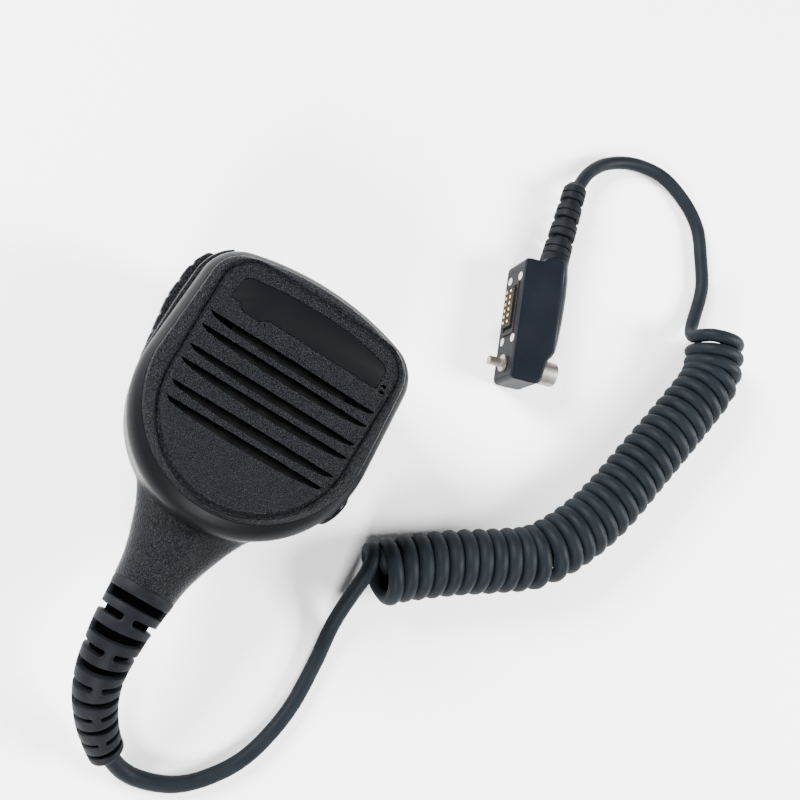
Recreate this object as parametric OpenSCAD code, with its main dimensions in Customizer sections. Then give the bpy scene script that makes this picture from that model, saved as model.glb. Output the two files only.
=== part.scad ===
// Speaker microphone with a belt clip, a curly cord and a radio plug.
// +Z is the grille side, +Y the top of the head, +X the side of the earphone jack.
// The origin lies on the clip's outer face, straight below the clip's swivel.

/* [Head] */
// Radius of the round lower end, half of the head's width
head_r = 32.5; // [29:0.5:39]
// Distance from the centre of the round lower end to the middle of the top edge
head_rise = 39.5; // [36:0.5:48]
// Radius of the two upper corners
corner_r = 12; // [9:0.5:15]
// Depth of the front cover from the parting line to the face
cover_depth = 8; // [7:0.5:10]
// Depth of the rear shell from its back to the parting line
shell_depth = 25; // [20:0.5:30]
// Wall thickness of both shells
wall = 2.2; // [1.6:0.1:2.8]

/* [Grille] */
// Number of slot pairs in the grille
slot_pairs = 3; // [2:1:3]
// Distance from one pair of slots to the next
pair_pitch = 10; // [9:0.1:11]
// Distance between the two slots of a pair
slot_pitch = 4.1; // [3.4:0.1:4.4]
// Length of the longest slot
slot_length = 49.5; // [46:0.5:54]
// Width of a slot in its middle
slot_width = 2; // [1.2:0.1:2.4]
// Width of the label plate
label_w = 43; // [34:1:46]
// Height of the label plate
label_h = 9.2; // [7:0.2:10]

/* [Talk button] */
// Length of the talk button along the side
ptt_length = 31; // [26:1:33]
// Height of the talk button
ptt_height = 11.4; // [9:0.2:12]
// How far the talk button stands out of the side
ptt_proud = 4.2; // [2.5:0.1:5]
// Full travel of the talk button in degrees
ptt_travel = 3; // [2:0.5:3.5]

/* [Neck and lead] */
// Distance from the swivel to the end of the neck
neck_end = 60; // [56:0.5:68]
// Radius of the neck where the strain relief starts
collar_r = 8.75; // [8:0.25:10]
// Radius of the strain relief at its thin end
relief_tip_r = 4.6; // [4.4:0.1:6]
// Diameter of the cord
cord_d = 4.6; // [3.8:0.1:4.8]
// Outer diameter of the curly stretch of the cord
coil_d = 20; // [17:0.5:22]

/* [Earphone jack] */
// Diameter of the jack's bore
jack_d = 3.6; // [3.5:0.05:3.8]
// Depth of the jack's bore
jack_depth = 14; // [12:0.5:15]
// Radius of the jack's rubber cap
cap_r = 5.6; // [5:0.1:6]

/* [Belt clip] */
// Width of the clip
clip_w = 22; // [18:1:28]
// Thickness of the clip arm
arm_t = 2.5; // [2:0.1:3]
// Gap between the arm and the clip plate
throat = 5; // [4.4:0.1:7]
// Thickness of the clip plate
plate_t = 3; // [2.6:0.1:4]
// Distance from the swivel to the arm's tip
clip_reach = 34; // [28:1:40]

/* [Plug] */
// Length of the plug housing
plug_l = 44; // [40:1:52]
// Width of the plug housing
plug_w = 18.2; // [16:0.2:19]
// Thickness of the plug housing
plug_t = 14; // [13:0.5:17]
// Diameter of the fixing screw's thread
fixing_d = 3; // [2.5:0.1:3.5]

/* [Hidden] */

$fn = 48;
eps = 0.01;
gap = 0.3;               // clearance between curved faces of separate pieces
run = 0.05;              // radial clearance of a running pin

// heights, from the surface the clip lies on
plate_z = arm_t + throat;
washer_z = plate_z + plate_t;
washer_t = 1.5;
back_z = washer_z + washer_t;
part_z = back_z + shell_depth;
face_z = part_z + cover_depth;
inner_z = face_z - wall;
board_z = back_z + 8;
board_t = 1.2;
jack_z = board_z + board_t + 3;
jack_turn = -15;
neck_z = back_z + 12;

// head outline: the hull of a lower circle and two corner circles, closed at the top by a
// wide arc that touches both corner circles
low_y = -4.5;
top_y = low_y + head_rise;
corner_x = head_r - corner_r - 0.8;
crown_h = corner_r + 3;
corner_y = top_y - crown_h;
crown_r = (pow(crown_h, 2) + pow(corner_x, 2) - pow(corner_r, 2)) / (2 * (crown_h - corner_r));
crown_angle = atan2(corner_x, crown_r - crown_h);
OUTLINE = [[0, low_y, head_r], [corner_x, corner_y, corner_r], [-corner_x, corner_y, corner_r]];
ring_n = 60;

// screw places in the head
boss_r = 2.6;
boss_top = [corner_x + 1, corner_y + 4.7];
boss_low = [head_r * 0.5, low_y - head_r * 0.66];
BOSSES = [boss_top, [-boss_top[0], boss_top[1]], boss_low, [-boss_low[0], boss_low[1]]];
screw_r = 1.1;
BOARD_SCREWS = [[12, 22], [-12, 22], [8, -21], [-8, -21]];

// speaker, a rotation about its own axis below the grille
speaker_y = -1.5;
speaker_r = 18;
cloth_t = 0.4;
ring_t = 1;
flange_t = 0.8;
cloth_z = inner_z - cloth_t;
ring_z = cloth_z - ring_t;
flange_z = ring_z - flange_t;
basket_z = flange_z - 4.2;
yoke_h = 5;
clamp_t = 1;
clamp_r = speaker_r + 4;
clamp_in = speaker_r - 1.6;
CLAMP_ANGLES = [30, 150, 270];

// microphone behind two small ports
mic_x = head_r - 9.1;
mic_y = 17.5;
capsule_r = 2.25;
mic_boot_r = 3.3;

// talk button, its pin and its switch
ptt_z = board_z + board_t + 1.8;
ptt_y0 = low_y + 1;
pin_r = 1;
pin_x = -head_r + 5.8;
pin_y = ptt_y0 + 3;
ptt_lever = 13;
bezel_proud = 1.3;       // how far the button's surround stands out of the side
switch_y = pin_y + ptt_lever;
switch_x = -head_r + 8;
ptt_skin = wall + 0.5;   // how far the button reaches inside the outline
plunger_r = 1.2;

// neck sections as [y, half width, half height, height of centre]
NECK = [[low_y - head_r * 0.72, 19, 9.2, back_z + 9.6], [-32, 16.8, 9.3, back_z + 9.7],
    [-38, 14.3, 9.4, back_z + 9.9], [-45, 11.7, 9.3, back_z + 10.6],
    [-neck_end + 7, 9.6, 9, back_z + 11.5], [-neck_end, collar_r, collar_r, neck_z]];
clamp_y = -43.5;

// route of the cord: through the neck and the strain relief, over the table to the plug
relief_plug = 4;         // length of the strain relief's foot inside the neck
LEAD = [[0, clamp_y + 4, neck_z], [0, -neck_end, neck_z], [1, -neck_end - 9, neck_z - 1],
    [4, -neck_end - 19, neck_z - 5], [9, -neck_end - 28, neck_z - 11],
    [16, -neck_end - 36, neck_z - 17], [26, -neck_end - 41, 3.4], [37, -98, 2.4],
    [46, -92, 2.4], [53, -82, 2.4], [57, -68, 2.4], [57, -52, 2.4], [55, -39, 4.5],
    [53, -29, 10], [51, -21, 15]];
COIL = [[56, -21], [63, -15], [76, -6], [89, 2], [99, 9], [107, 20], [114, 35], [120, 56],
    [125, 78], [127, 95], [122, 107]];
TAIL = [[114, 103, 9], [113, 108, 4], [115, 116, 2.4], [115, 127, 2.4], [111, 138, 2.4],
    [105, 147, 2.4], [96, 153, 2.4], [84, 156, 2.4], [72, 153, 2.4], [63, 146, 3],
    [58, 137, 5], [56.4, 128.2, 7]];
relief_i = 5;            // point of LEAD at which the strain relief ends
lead_steps = 3;
coil_steps = 2;

// plug, drawn in its own frame: +Y towards the cord, -X the face that meets the radio
plug_at = [57.5, 97.5, 0];
plug_turn = 20;
plug_x0 = -plug_w / 2;
plug_wall = 1.6;
base_t = 1.8;
relief_x = 4;
relief_l = 30;
relief_lean = 9;
fixing_y = -plug_l + 6;
fixing_z = plug_t / 2;
head_h = 5;
thread_end = 5.4;        // how far the screw's thread stands out of the plug's face
thread_l = 4;
shank_r = fixing_d / 2 - 0.4;
notch = [head_h + 1.2, 11];

function unit(v) = v / norm(v);
function last(list) = list[len(list) - 1];
function flat(list) = [for (a = list) for (b = a) b];

// point of the outline that faces direction a, moved in by inset
function support(a, inset) =
    let (n = [cos(a), sin(a)],
         reach = [for (c = OUTLINE) c[0] * n[0] + c[1] * n[1] + c[2]],
         best = [for (i = [0:2]) if (reach[i] > max(reach) - eps) OUTLINE[i]][0],
         arc = abs(a - 90) < crown_angle ? [0, top_y - crown_r, crown_r] : best)
    [arc[0], arc[1]] + (arc[2] - inset) * n;
function outline(inset) = [for (k = [0:ring_n - 1]) support((k + 0.5) * 360 / ring_n, inset)];
function layer(inset, z) = [for (p = outline(inset)) [p[0], p[1], z]];

// smooth curve through a list of points
function spline(a, b, c, d, t) =
    0.5 * (2 * b + (c - a) * t + (2 * a - 5 * b + 4 * c - d) * t * t
        + (3 * b - a - 3 * c + d) * t * t * t);
function curve(pts, steps) = concat(
    [for (i = [0:len(pts) - 2]) for (k = [0:steps - 1])
        spline(pts[max(i - 1, 0)], pts[i], pts[i + 1], pts[min(i + 2, len(pts) - 1)], k / steps)],
    [last(pts)]);
function heading(path, i) = unit(path[min(i + 1, len(path) - 1)] - path[max(i - 1, 0)]);
function ring(centre, dir, r, sides) =
    let (side = unit(cross(dir, [0, 0, 1])), up = cross(side, dir))
    [for (k = [0:sides - 1]) centre + r * (cos(k * 360 / sides) * up + sin(k * 360 / sides) * side)];
function sweep(path, radii, sides) =
    [for (i = [0:len(path) - 1]) ring(path[i], heading(path, i), radii[i], sides)];
function same(path, r) = [for (p = path) r];
function cut(path, i, j) = [for (k = [i:j]) path[k]];

module loft(rings) {
    n = len(rings[0]);
    m = len(rings);
    sides = [for (i = [0:m - 2]) for (k = [0:n - 1])
        [i * n + k, (i + 1) * n + k, (i + 1) * n + (k + 1) % n, i * n + (k + 1) % n]];
    start = [for (k = [0:n - 1]) k];
    end = [for (k = [0:n - 1]) m * n - 1 - k];
    polyhedron(points = flat(rings), faces = concat([start], sides, [end]));
}

module bar(r, z0, z1) translate([0, 0, z0]) cylinder(r = r, h = z1 - z0);
module hollow(r_out, r_in, z0, z1) difference() {
    bar(r_out, z0, z1);
    bar(r_in, z0 - 1, z1 + 1);
}
module block(x0, x1, y0, y1, z0, z1) translate([x0, y0, z0]) cube([x1 - x0, y1 - y0, z1 - z0]);
module at_each(places) for (p = places) translate([p[0], p[1], 0]) children();
module rounded(w, h, r, t) linear_extrude(height = t) {
    square([w, h - 2 * r], center = true);
    square([w - 2 * r, h], center = true);
    for (x = [-1, 1], y = [-1, 1]) translate([x * (w / 2 - r), y * (h / 2 - r)]) circle(r = r);
}
// screw with its thread end at z = 0, head at the top
module screw(r, length, head_r, head_h) {
    bar(r, 0, length);
    difference() {
        bar(head_r, length, length + head_h);
        for (a = [0, 90]) rotate([0, 0, a]) block(-head_r * 0.6, head_r * 0.6, -0.2, 0.2,
            length + head_h * 0.4, length + head_h + 1);
    }
}

// ---- head ----

// slots, straight along the top, their lower edge rising to a point at both ends
module slot(length) linear_extrude(height = 2 * wall + 4) polygon(
    [for (k = [0:16]) [length * (k / 16 - 0.5), slot_width * (0.5 - pow(sin(k * 11.25), 0.4))]]);
slot_top = 9.6;
slot_x = 0.5;
label_y = 21.2;
module slots() for (p = [0:slot_pairs - 1], s = [0, 1])
    translate([slot_x, slot_top - p * pair_pitch - s * slot_pitch, inner_z - 2])
        slot(slot_length - (p == 2 ? 1.2 + 2 * s : 0));

module label_shape(grow, t) {
    translate([0, label_y, 0]) rounded(label_w + 2 * grow, label_h + 2 * grow, 3.6, t);
    translate([-label_w / 2 + 6, label_y - label_h / 2, 0]) rounded(8 + 2 * grow, 4 + 2 * grow, 1.9, t);
}
label_t = 0.6;

module front_cover() color([0.09, 0.10, 0.12]) {
    difference() {
        loft([layer(0, part_z), layer(0.1, part_z + 0.8), layer(0.9, face_z - 4.2),
            layer(2, face_z - 2), layer(3.4, face_z - 0.6), layer(5, face_z)]);
        loft([layer(wall, part_z - 1), layer(wall + 0.4, part_z + 1), layer(wall + 2.4, inner_z)]);
        slots();
        translate([0, 0, face_z - label_t]) label_shape(0.1, label_t + 1);
        for (s = [-1, 1]) translate([mic_x, mic_y + s * 0.85, 0]) bar(0.6, inner_z - 1, face_z + 1);
    }
    difference() {
        union() {
            at_each(BOSSES) bar(boss_r, part_z + eps, inner_z + 0.5);
            translate([0, speaker_y, 0]) for (a = CLAMP_ANGLES) rotate([0, 0, a])
                translate([clamp_r, 0, 0]) bar(1.9, flange_z, inner_z + 0.5);
        }
        at_each(BOSSES) bar(screw_r - 0.1, part_z - 1, inner_z - 1);
        translate([0, speaker_y, 0]) for (a = CLAMP_ANGLES) rotate([0, 0, a])
            translate([clamp_r, 0, 0]) bar(0.8, flange_z - 1, inner_z - 0.3);
    }
}

function neck_ring(s, inset) = [for (k = [0:31])
    [(s[1] - inset) * cos(k * 11.25), s[0], s[3] - (s[2] - inset) * sin(k * 11.25)]];
module neck(inset, extra) loft([for (i = [len(NECK) - 1:-1:0])
    neck_ring(NECK[i] - [i == len(NECK) - 1 ? extra : 0, 0, 0, 0], inset)]);

// frame of the earphone jack: +X points out of the round side
module at_jack() translate([0, low_y, jack_z]) rotate([0, 0, jack_turn]) children();
module along_x(r, x0, x1) translate([x0, 0, 0]) rotate([0, 90, 0]) cylinder(r = r, h = x1 - x0);
nose_r = 3;

module rear_shell() color([0.08, 0.09, 0.11]) {
    difference() {
        union() {
            loft([layer(5.5, back_z), layer(2.6, back_z + 1.2), layer(0.8, back_z + 4),
                layer(0, back_z + 8), layer(0, part_z - gap)]);
            neck(0, 0);
            // raised surround of the talk button
            ptt_sector(-bezel_proud, ptt_z0 - 3, part_z - gap, 2.2);
        }
        loft([layer(wall + 4.4, back_z + wall), layer(wall + 1.4, back_z + wall + 2),
            layer(wall, back_z + 9), layer(wall, part_z + 1)]);
        difference() {
            neck(wall, -relief_plug - wall);
            block(-30, 30, -neck_end - 5, -neck_end + relief_plug + wall, 0, part_z);
        }
        // the front cover stays clear of the neck's top
        loft([layer(-0.4, part_z - gap), layer(-0.4, part_z + 5)]);
        // talk button window
        block(-head_r - 5, -head_r + 9.4, ptt_y0 - 0.8, ptt_y0 + ptt_length + 1.4,
            ptt_z - ptt_height / 2 - 0.5, ptt_z + ptt_height / 2 + 0.5);
        at_jack() along_x(nose_r + 0.1, head_r - 8, head_r + 3);
        at_each(BOSSES) bar(screw_r + 0.2, back_z - 1, part_z);
        at_each(BOSSES) bar(2.3, back_z - 1, back_z + 2.4);
        bar(2.6, back_z - 1, back_z + 7);
        // bore and socket for the strain relief
        translate([0, -neck_end - 1, neck_z]) rotate([-90, 0, 0]) cylinder(r = 6, h = relief_plug + 1);
        translate([0, -neck_end - 1, neck_z]) rotate([-90, 0, 0])
            cylinder(r = cord_d / 2 + 0.4, h = relief_plug + wall + 3);
        groove();
    }
    difference() {
        at_each(BOSSES) bar(boss_r + 0.6, back_z + wall, part_z - gap);
        at_each(BOSSES) bar(screw_r + 0.2, back_z - 1, part_z);
        at_each(BOSSES) bar(2.3, back_z - 1, back_z + 2.4);
        groove();
    }
    difference() {
        at_each(BOARD_SCREWS) bar(2.2, back_z + wall - eps, board_z);
        at_each(BOARD_SCREWS) bar(0.8, board_z - 5, board_z + 1);
    }
    hollow(5, 2.6, back_z + wall - eps, back_z + 7);
    // saddle under the cable clamp
    difference() {
        block(-7, 7, clamp_y - 3, clamp_y + 3, back_z + 3.6, neck_z - 1.2);
        translate([0, clamp_y - 5, neck_z]) rotate([-90, 0, 0]) cylinder(r = cord_d / 2 + gap, h = 10);
        for (s = [-1, 1]) translate([s * 5, clamp_y, 0]) bar(0.8, neck_z - 6, neck_z);
    }
}

// ring between the two shells, in a groove in the rear shell's rim
module groove() translate([0, 0, part_z - 1.1]) linear_extrude(height = 2) difference() {
    polygon(outline(0.7));
    polygon(outline(1.5));
}
module shell_gasket() color([0.05, 0.05, 0.05])
    translate([0, 0, part_z - 1.1]) linear_extrude(height = 1.1) difference() {
        polygon(outline(0.75));
        polygon(outline(1.45));
    }

screw_l = shell_depth - 2.4 + 3.4;
module housing_screws() color("silver") at_each(BOSSES)
    translate([0, 0, back_z + 2.4]) mirror([0, 0, 1]) translate([0, 0, -screw_l])
        screw(screw_r - 0.1, screw_l, 2, 1.4);

module label_plate() color([0.05, 0.05, 0.07])
    translate([0, 0, face_z - label_t]) label_shape(0, label_t);

cloth_h = (slot_pairs - 1) * pair_pitch + slot_pitch + slot_width + 4;
module grille_cloth() color([0.04, 0.04, 0.04]) difference() {
    intersection() {
        translate([slot_x, slot_top + slot_width / 2 + 2 - cloth_h / 2, cloth_z])
            rounded(slot_length + 2, cloth_h, 3, cloth_t);
        linear_extrude(height = face_z) polygon(outline(wall + 2.8));
    }
    clamp_ear(2.1, cloth_z - 1, inner_z + 1);
    translate([mic_x, mic_y, 0]) bar(mic_boot_r + 0.2, cloth_z - 1, inner_z + 1);
}

module on_speaker() translate([0, speaker_y, 0]) children();
module speaker_gasket() color([0.12, 0.12, 0.12])
    on_speaker() hollow(speaker_r, speaker_r - 2.4, ring_z, cloth_z);
module speaker_frame() color([0.55, 0.55, 0.58]) on_speaker() difference() {
    rotate_extrude() polygon([[7, basket_z], [9.6, basket_z], [speaker_r - 3.2, flange_z - 1],
        [speaker_r - 3.2, flange_z], [speaker_r, flange_z], [speaker_r, ring_z],
        [speaker_r - 4, ring_z], [speaker_r - 4, flange_z - 0.6], [9.2, basket_z + 0.8],
        [7, basket_z + 0.8]]);
    for (a = [0:60:300]) rotate([0, 0, a]) translate([11.5, 0, basket_z - 1]) cylinder(r = 1.6, h = 5);
}
module speaker_yoke() color([0.7, 0.7, 0.72]) on_speaker() difference() {
    bar(8.6, basket_z - yoke_h, basket_z);
    bar(7.2, basket_z - yoke_h + 1, basket_z + 1);
}
module speaker_magnet() color([0.35, 0.35, 0.38]) on_speaker()
    bar(5.4, basket_z - yoke_h + 1, basket_z + 0.2);
cone_r = speaker_r - 5;
module speaker_cone() color([0.16, 0.15, 0.14]) on_speaker() {
    rotate_extrude() polygon([[0, flange_z - 0.2], [5.4, flange_z - 1.2], [cone_r, flange_z + 0.4],
        [cone_r, flange_z + 0.8], [5.4, flange_z - 0.8], [0, flange_z + 0.2]]);
    hollow(6.4, 6, basket_z - 1.4, flange_z - 1.05);
}
module speaker_surround() color([0.1, 0.1, 0.1]) on_speaker()
    hollow(speaker_r - 4.1, cone_r + 0.1, flange_z + 0.3, ring_z - 0.1);

module clamp_ear(r, z0, z1) on_speaker() for (a = CLAMP_ANGLES) rotate([0, 0, a])
    translate([clamp_r, 0, 0]) bar(r, z0, z1);
module speaker_clamp() color([0.6, 0.6, 0.62]) difference() {
    union() {
        on_speaker() bar(speaker_r + 2, flange_z - clamp_t, flange_z);
        clamp_ear(2.2, flange_z - clamp_t, flange_z);
    }
    on_speaker() bar(clamp_in, flange_z - clamp_t - 1, flange_z + 1);
    clamp_ear(1, flange_z - clamp_t - 1, flange_z + 1);
}
module speaker_clamp_screws() color("silver") on_speaker() for (a = CLAMP_ANGLES)
    rotate([0, 0, a]) translate([clamp_r, 0, flange_z - clamp_t]) rotate([180, 0, 0])
        translate([0, 0, -3.4]) screw(0.75, 3.4, 1.6, 0.9);

module microphone_boot() color([0.06, 0.06, 0.06]) translate([mic_x, mic_y, 0]) difference() {
    bar(mic_boot_r, inner_z - 4, inner_z);
    bar(capsule_r + run, inner_z - 3, inner_z - 1);
    bar(1.5, inner_z - 1.5, inner_z + 1);
    bar(1.2, inner_z - 5, inner_z - 2);
}
module microphone_capsule() color([0.75, 0.75, 0.75]) translate([mic_x, mic_y, 0])
    bar(capsule_r, inner_z - 3, inner_z - 1);

// ---- electronics ----

board_inset = wall + 3.4;
module circuit_board() color([0.05, 0.30, 0.16]) difference() {
    translate([0, 0, board_z]) linear_extrude(height = board_t) polygon(outline(board_inset));
    block(-head_r, switch_x - 0.4, -head_r * 2, ptt_y0 + ptt_length + 2, board_z - 1, board_z + 3);
    block(-head_r, pin_x + 4, pin_y - 4.6, pin_y + 4.6, board_z - 1, board_z + 3);
    at_each(BOSSES) bar(boss_r + 1, board_z - 1, board_z + 3);
    at_each(BOARD_SCREWS) bar(1, board_z - 1, board_z + 3);
    bar(5.4, board_z - 1, board_z + 3);
}
module board_components() color([0.12, 0.12, 0.13]) {
    top = board_z + board_t;
    block(-6, 2, 8, 16, top, top + 1.6);
    block(-14, -9, -2, 2, top, top + 1.2);
    block(9, 14, 6, 11, top, top + 1.4);
    for (k = [0:3]) block(-2 + 3.4 * k, 0.2 + 3.4 * k, 18.4, 19.8, top, top + 0.8);
    for (k = [0:2]) block(-14, -12.6, -8 - 3 * k, -6 - 3 * k, top, top + 0.8);
    translate([14, -2, 0]) bar(2.2, top, top + 4.6);
}
module board_screws() color("silver") at_each(BOARD_SCREWS)
    translate([0, 0, board_z - 4]) screw(0.75, 4 + board_t, 1.8, 1);
module lead_connector() color([0.86, 0.84, 0.76])
    block(-4.5, 4.5, -17, -13, board_z + board_t, board_z + board_t + 4.4);
WIRES = [[0, clamp_y + 4.2, neck_z], [0, -34, neck_z + 1], [0, -28, neck_z + 2.4],
    [0, -22, neck_z + 1.4], [0, -17.1, board_z + board_t + 2.4]];
module inner_wires() color([0.7, 0.1, 0.1]) for (s = [-1.2, 0, 1.2]) {
    path = curve([for (p = WIRES) p + [s, 0, 0]], 2);
    loft(sweep(path, same(path, 0.5), 8));
}
module talk_switch() color([0.1, 0.1, 0.11]) difference() {
    block(switch_x, switch_x + 3.4, switch_y - 3, switch_y + 3, board_z + board_t, ptt_z + 2);
    translate([0, switch_y, ptt_z]) along_x(plunger_r + run, switch_x - 1, switch_x + 2.4);
}
module switch_plunger() color([0.8, 0.8, 0.76])
    translate([0, switch_y, ptt_z]) along_x(plunger_r, switch_x - 1.8, switch_x + 1.2);

// ---- talk button ----

ptt_z0 = ptt_z - ptt_height / 2;
ptt_z1 = ptt_z + ptt_height / 2;
module ptt_sector(inset, z0, z1, longer) translate([0, 0, z0]) linear_extrude(height = z1 - z0)
    intersection() {
        polygon(outline(inset));
        translate([-head_r * 2, ptt_y0 - longer]) square([head_r * 2 - 12, ptt_length + 2 * longer]);
        // the outer face starts almost level with the side and rises towards the top
        polygon([[-head_r - 0.7, ptt_y0 - longer - 1], [-head_r - ptt_proud, ptt_y0 + 17],
            [-head_r - ptt_proud, top_y], [0, top_y], [0, ptt_y0 - longer - 1]]);
    }
module talk_button() color([0.08, 0.09, 0.11]) difference() {
    union() {
        difference() {
            union() {
                ptt_sector(-ptt_proud, ptt_z0 + 1.4, ptt_z1 - 1.4, 0);
                ptt_sector(-ptt_proud + 1.2, ptt_z0, ptt_z1, 0);
            }
            translate([0, 0, ptt_z0 - 1]) linear_extrude(height = ptt_height + 2)
                polygon(outline(ptt_skin));
            for (k = [0:4]) translate([-head_r - ptt_proud - 0.9, ptt_y0 + 5.5 + k * 5, ptt_z])
                cylinder(r = 1.4, h = ptt_height * 0.7, center = true);
        }
        translate([pin_x, pin_y, 0]) bar(pin_r + 1.1, ptt_z0, ptt_z1);
        block(-head_r + 1.5, pin_x, pin_y - 1.4, pin_y + 1.4, ptt_z0, ptt_z1);
        block(-head_r + 1.5, switch_x - 1.8 - gap, switch_y - 1.5, switch_y + 1.5, ptt_z - 2, ptt_z + 2);
    }
    translate([pin_x, pin_y, 0]) bar(pin_r + run, ptt_z0 - 1, ptt_z1 + 1);
}
module talk_pin() color("silver") translate([pin_x, pin_y, 0]) bar(pin_r, ptt_z0 - 1.6, ptt_z1 + 1.6);
module talk_bracket() color([0.65, 0.65, 0.68]) difference() {
    union() {
        block(pin_x + 2.6, pin_x + 3.4, pin_y - 4, pin_y + 4, ptt_z0 - 1.4, ptt_z1 + 1.4);
        for (z = [ptt_z0 - 1.4, ptt_z1 + 0.4]) {
            block(pin_x, pin_x + 3, pin_y - 1.7, pin_y + 1.7, z, z + 1);
            translate([pin_x, pin_y, 0]) bar(1.7, z, z + 1);
        }
    }
    translate([pin_x, pin_y, 0]) bar(pin_r, ptt_z0 - 3, ptt_z1 + 3);
}

// ---- earphone jack ----

module jack_socket() color([0.12, 0.12, 0.13]) at_jack() difference() {
    union() {
        block(head_r - jack_depth - 1, head_r - 4.4, -3, 3, -3, 3);
        along_x(nose_r, head_r - 5, head_r - 0.6);
    }
    along_x(jack_d / 2, head_r - jack_depth, head_r + 1);
}
cap_x = head_r + 0.5;
hinge_x = head_r + 1.6;
hinge_z = -cap_r - 1.9;
module along_y(r, y0, y1) translate([0, y0, 0]) rotate([-90, 0, 0]) cylinder(r = r, h = y1 - y0);
module jack_cap() color([0.05, 0.05, 0.06]) at_jack() difference() {
    union() {
        along_x(cap_r, cap_x, cap_x + 1.4);
        along_x(cap_r - 0.9, cap_x + 1.3, cap_x + 2.4);
        block(hinge_x - 0.7, hinge_x + 0.7, -1.6, 1.6, hinge_z, -cap_r + 1);
        translate([hinge_x, 0, hinge_z]) along_y(1.1, -1.6, 1.6);
    }
    translate([hinge_x, 0, hinge_z]) along_y(0.6 + run, -3, 3);
}
module jack_cap_hinge() color([0.05, 0.05, 0.06]) at_jack() {
    for (s = [-1, 1]) translate([0, s * 2.6 - 0.6, 0]) {
        translate([hinge_x, 0, hinge_z]) along_y(1.1, 0, 1.2);
        block(head_r - 2, hinge_x, 0, 1.2, hinge_z - 1, hinge_z + 1);
    }
    translate([hinge_x, 0, hinge_z]) along_y(0.6, -2.6, 2.6);
}

// ---- lead and strain relief ----

lead_path = curve(LEAD, lead_steps);
relief_from = lead_steps;
relief_to = relief_i * lead_steps;
relief_path = cut(lead_path, relief_from, relief_to);
function relief_r(i) = collar_r + (relief_tip_r - collar_r) * i / (len(relief_path) - 1)
    - (i % 2 == 1 ? 0.5 : 0);
module strain_relief() color([0.14, 0.15, 0.17]) difference() {
    union() {
        loft(sweep(relief_path, [for (i = [0:len(relief_path) - 1]) relief_r(i)], 24));
        translate([0, -neck_end - eps, neck_z]) along_y(5.9, 0, relief_plug);
    }
    inner = cut(lead_path, 0, relief_to + 1);
    loft(sweep(inner, same(inner, cord_d / 2 + 0.1), 8));
}
module lead_cord() color([0.15, 0.17, 0.20]) loft(sweep(lead_path, same(lead_path, cord_d / 2), 8));
module cable_clamp() color([0.6, 0.6, 0.62]) difference() {
    block(-7, 7, clamp_y - 2.5, clamp_y + 2.5, neck_z - 1.2, neck_z + 3.6);
    translate([0, clamp_y - 5, neck_z]) along_y(cord_d / 2 + gap, 0, 10);
    for (s = [-1, 1]) translate([s * 5, clamp_y, 0]) bar(1, neck_z - 3, neck_z + 5);
}
module cable_clamp_screws() color("silver") for (s = [-1, 1])
    translate([s * 5, clamp_y, neck_z - 5]) screw(0.75, 8.6, 1.6, 1);

module coil_cord() color([0.15, 0.17, 0.20]) {
    path = curve([for (p = COIL) [p[0], p[1], coil_d / 2]], coil_steps);
    loft(sweep(path, same(path, coil_d / 2), 12));
}
module tail_cord() color([0.15, 0.17, 0.20]) {
    path = curve(TAIL, 2);
    loft(sweep(path, same(path, cord_d / 2), 8));
}

// ---- belt clip ----

hinge_y = 22;
clip_pin_z = arm_t + 3;
clip_pin_r = 1.5;
barrel_r = 2.7;
module swivel_insert() color("goldenrod") hollow(2.6, 1.5, back_z, back_z + 6.5);
module swivel_washer() color([0.1, 0.1, 0.11]) hollow(10.5, 3.4, washer_z, back_z);
module swivel_screw() color("silver") {
    bar(1.45, back_z, back_z + 6);
    bar(3, plate_z + 1.5, back_z);
    difference() {
        bar(4.8, plate_z, plate_z + 1.5);
        block(-3.6, 3.6, -0.5, 0.5, plate_z - 1, plate_z + 0.8);
    }
}
module clip_plate() color([0.07, 0.07, 0.08]) difference() {
    union() {
        block(-clip_w / 2, clip_w / 2, -clip_reach + 6, hinge_y - barrel_r - 0.6, plate_z, washer_z - 0.1);
        bar(10.5, plate_z, washer_z - 0.1);
        for (s = [-1, 1]) translate([s * (clip_w / 2 + 0.4) - 1.2, 0, 0]) {
            block(0, 2.4, hinge_y - 10, hinge_y, clip_pin_z, washer_z - 0.1);
            translate([0, hinge_y, clip_pin_z]) along_x(3, 0, 2.4);
            block(0, 2.4, hinge_y - 0.1, hinge_y + 3, clip_pin_z, washer_z - 0.1);
        }
    }
    bar(3 + run, plate_z - 1, washer_z + 1);
    bar(4.9, plate_z - 1, plate_z + 1.5);
    translate([0, hinge_y, clip_pin_z]) along_x(clip_pin_r, -clip_w, clip_w);
}
module clip_pin() color("silver") translate([0, hinge_y, clip_pin_z])
    along_x(clip_pin_r, -clip_w / 2 - 1.6, clip_w / 2 + 1.6);
arm_w = clip_w / 2 - 1.2;
module clip_arm() color([0.07, 0.07, 0.08]) difference() {
    union() {
        translate([0, (hinge_y + 12 - clip_reach) / 2, 0])
            rounded(2 * arm_w, hinge_y + 12 + clip_reach, 5, arm_t);
        block(-arm_w + 2, arm_w - 2, -clip_reach + 1.5, -clip_reach + 3.5, arm_t - eps, plate_z - gap);
        for (s = [-1, 1]) translate([s * (arm_w - 1.6) - 1.6, 0, 0]) {
            block(0, 3.2, hinge_y - barrel_r, hinge_y + barrel_r, arm_t - eps, clip_pin_z);
            translate([0, hinge_y, clip_pin_z]) along_x(barrel_r, 0, 3.2);
        }
    }
    translate([0, hinge_y, clip_pin_z]) along_x(clip_pin_r + run, -clip_w, clip_w);
    for (k = [0:2]) block(-arm_w + 2, arm_w - 2, hinge_y + 4 + 2.4 * k, hinge_y + 5 + 2.4 * k, arm_t - 0.5, arm_t + 1);
}
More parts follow.
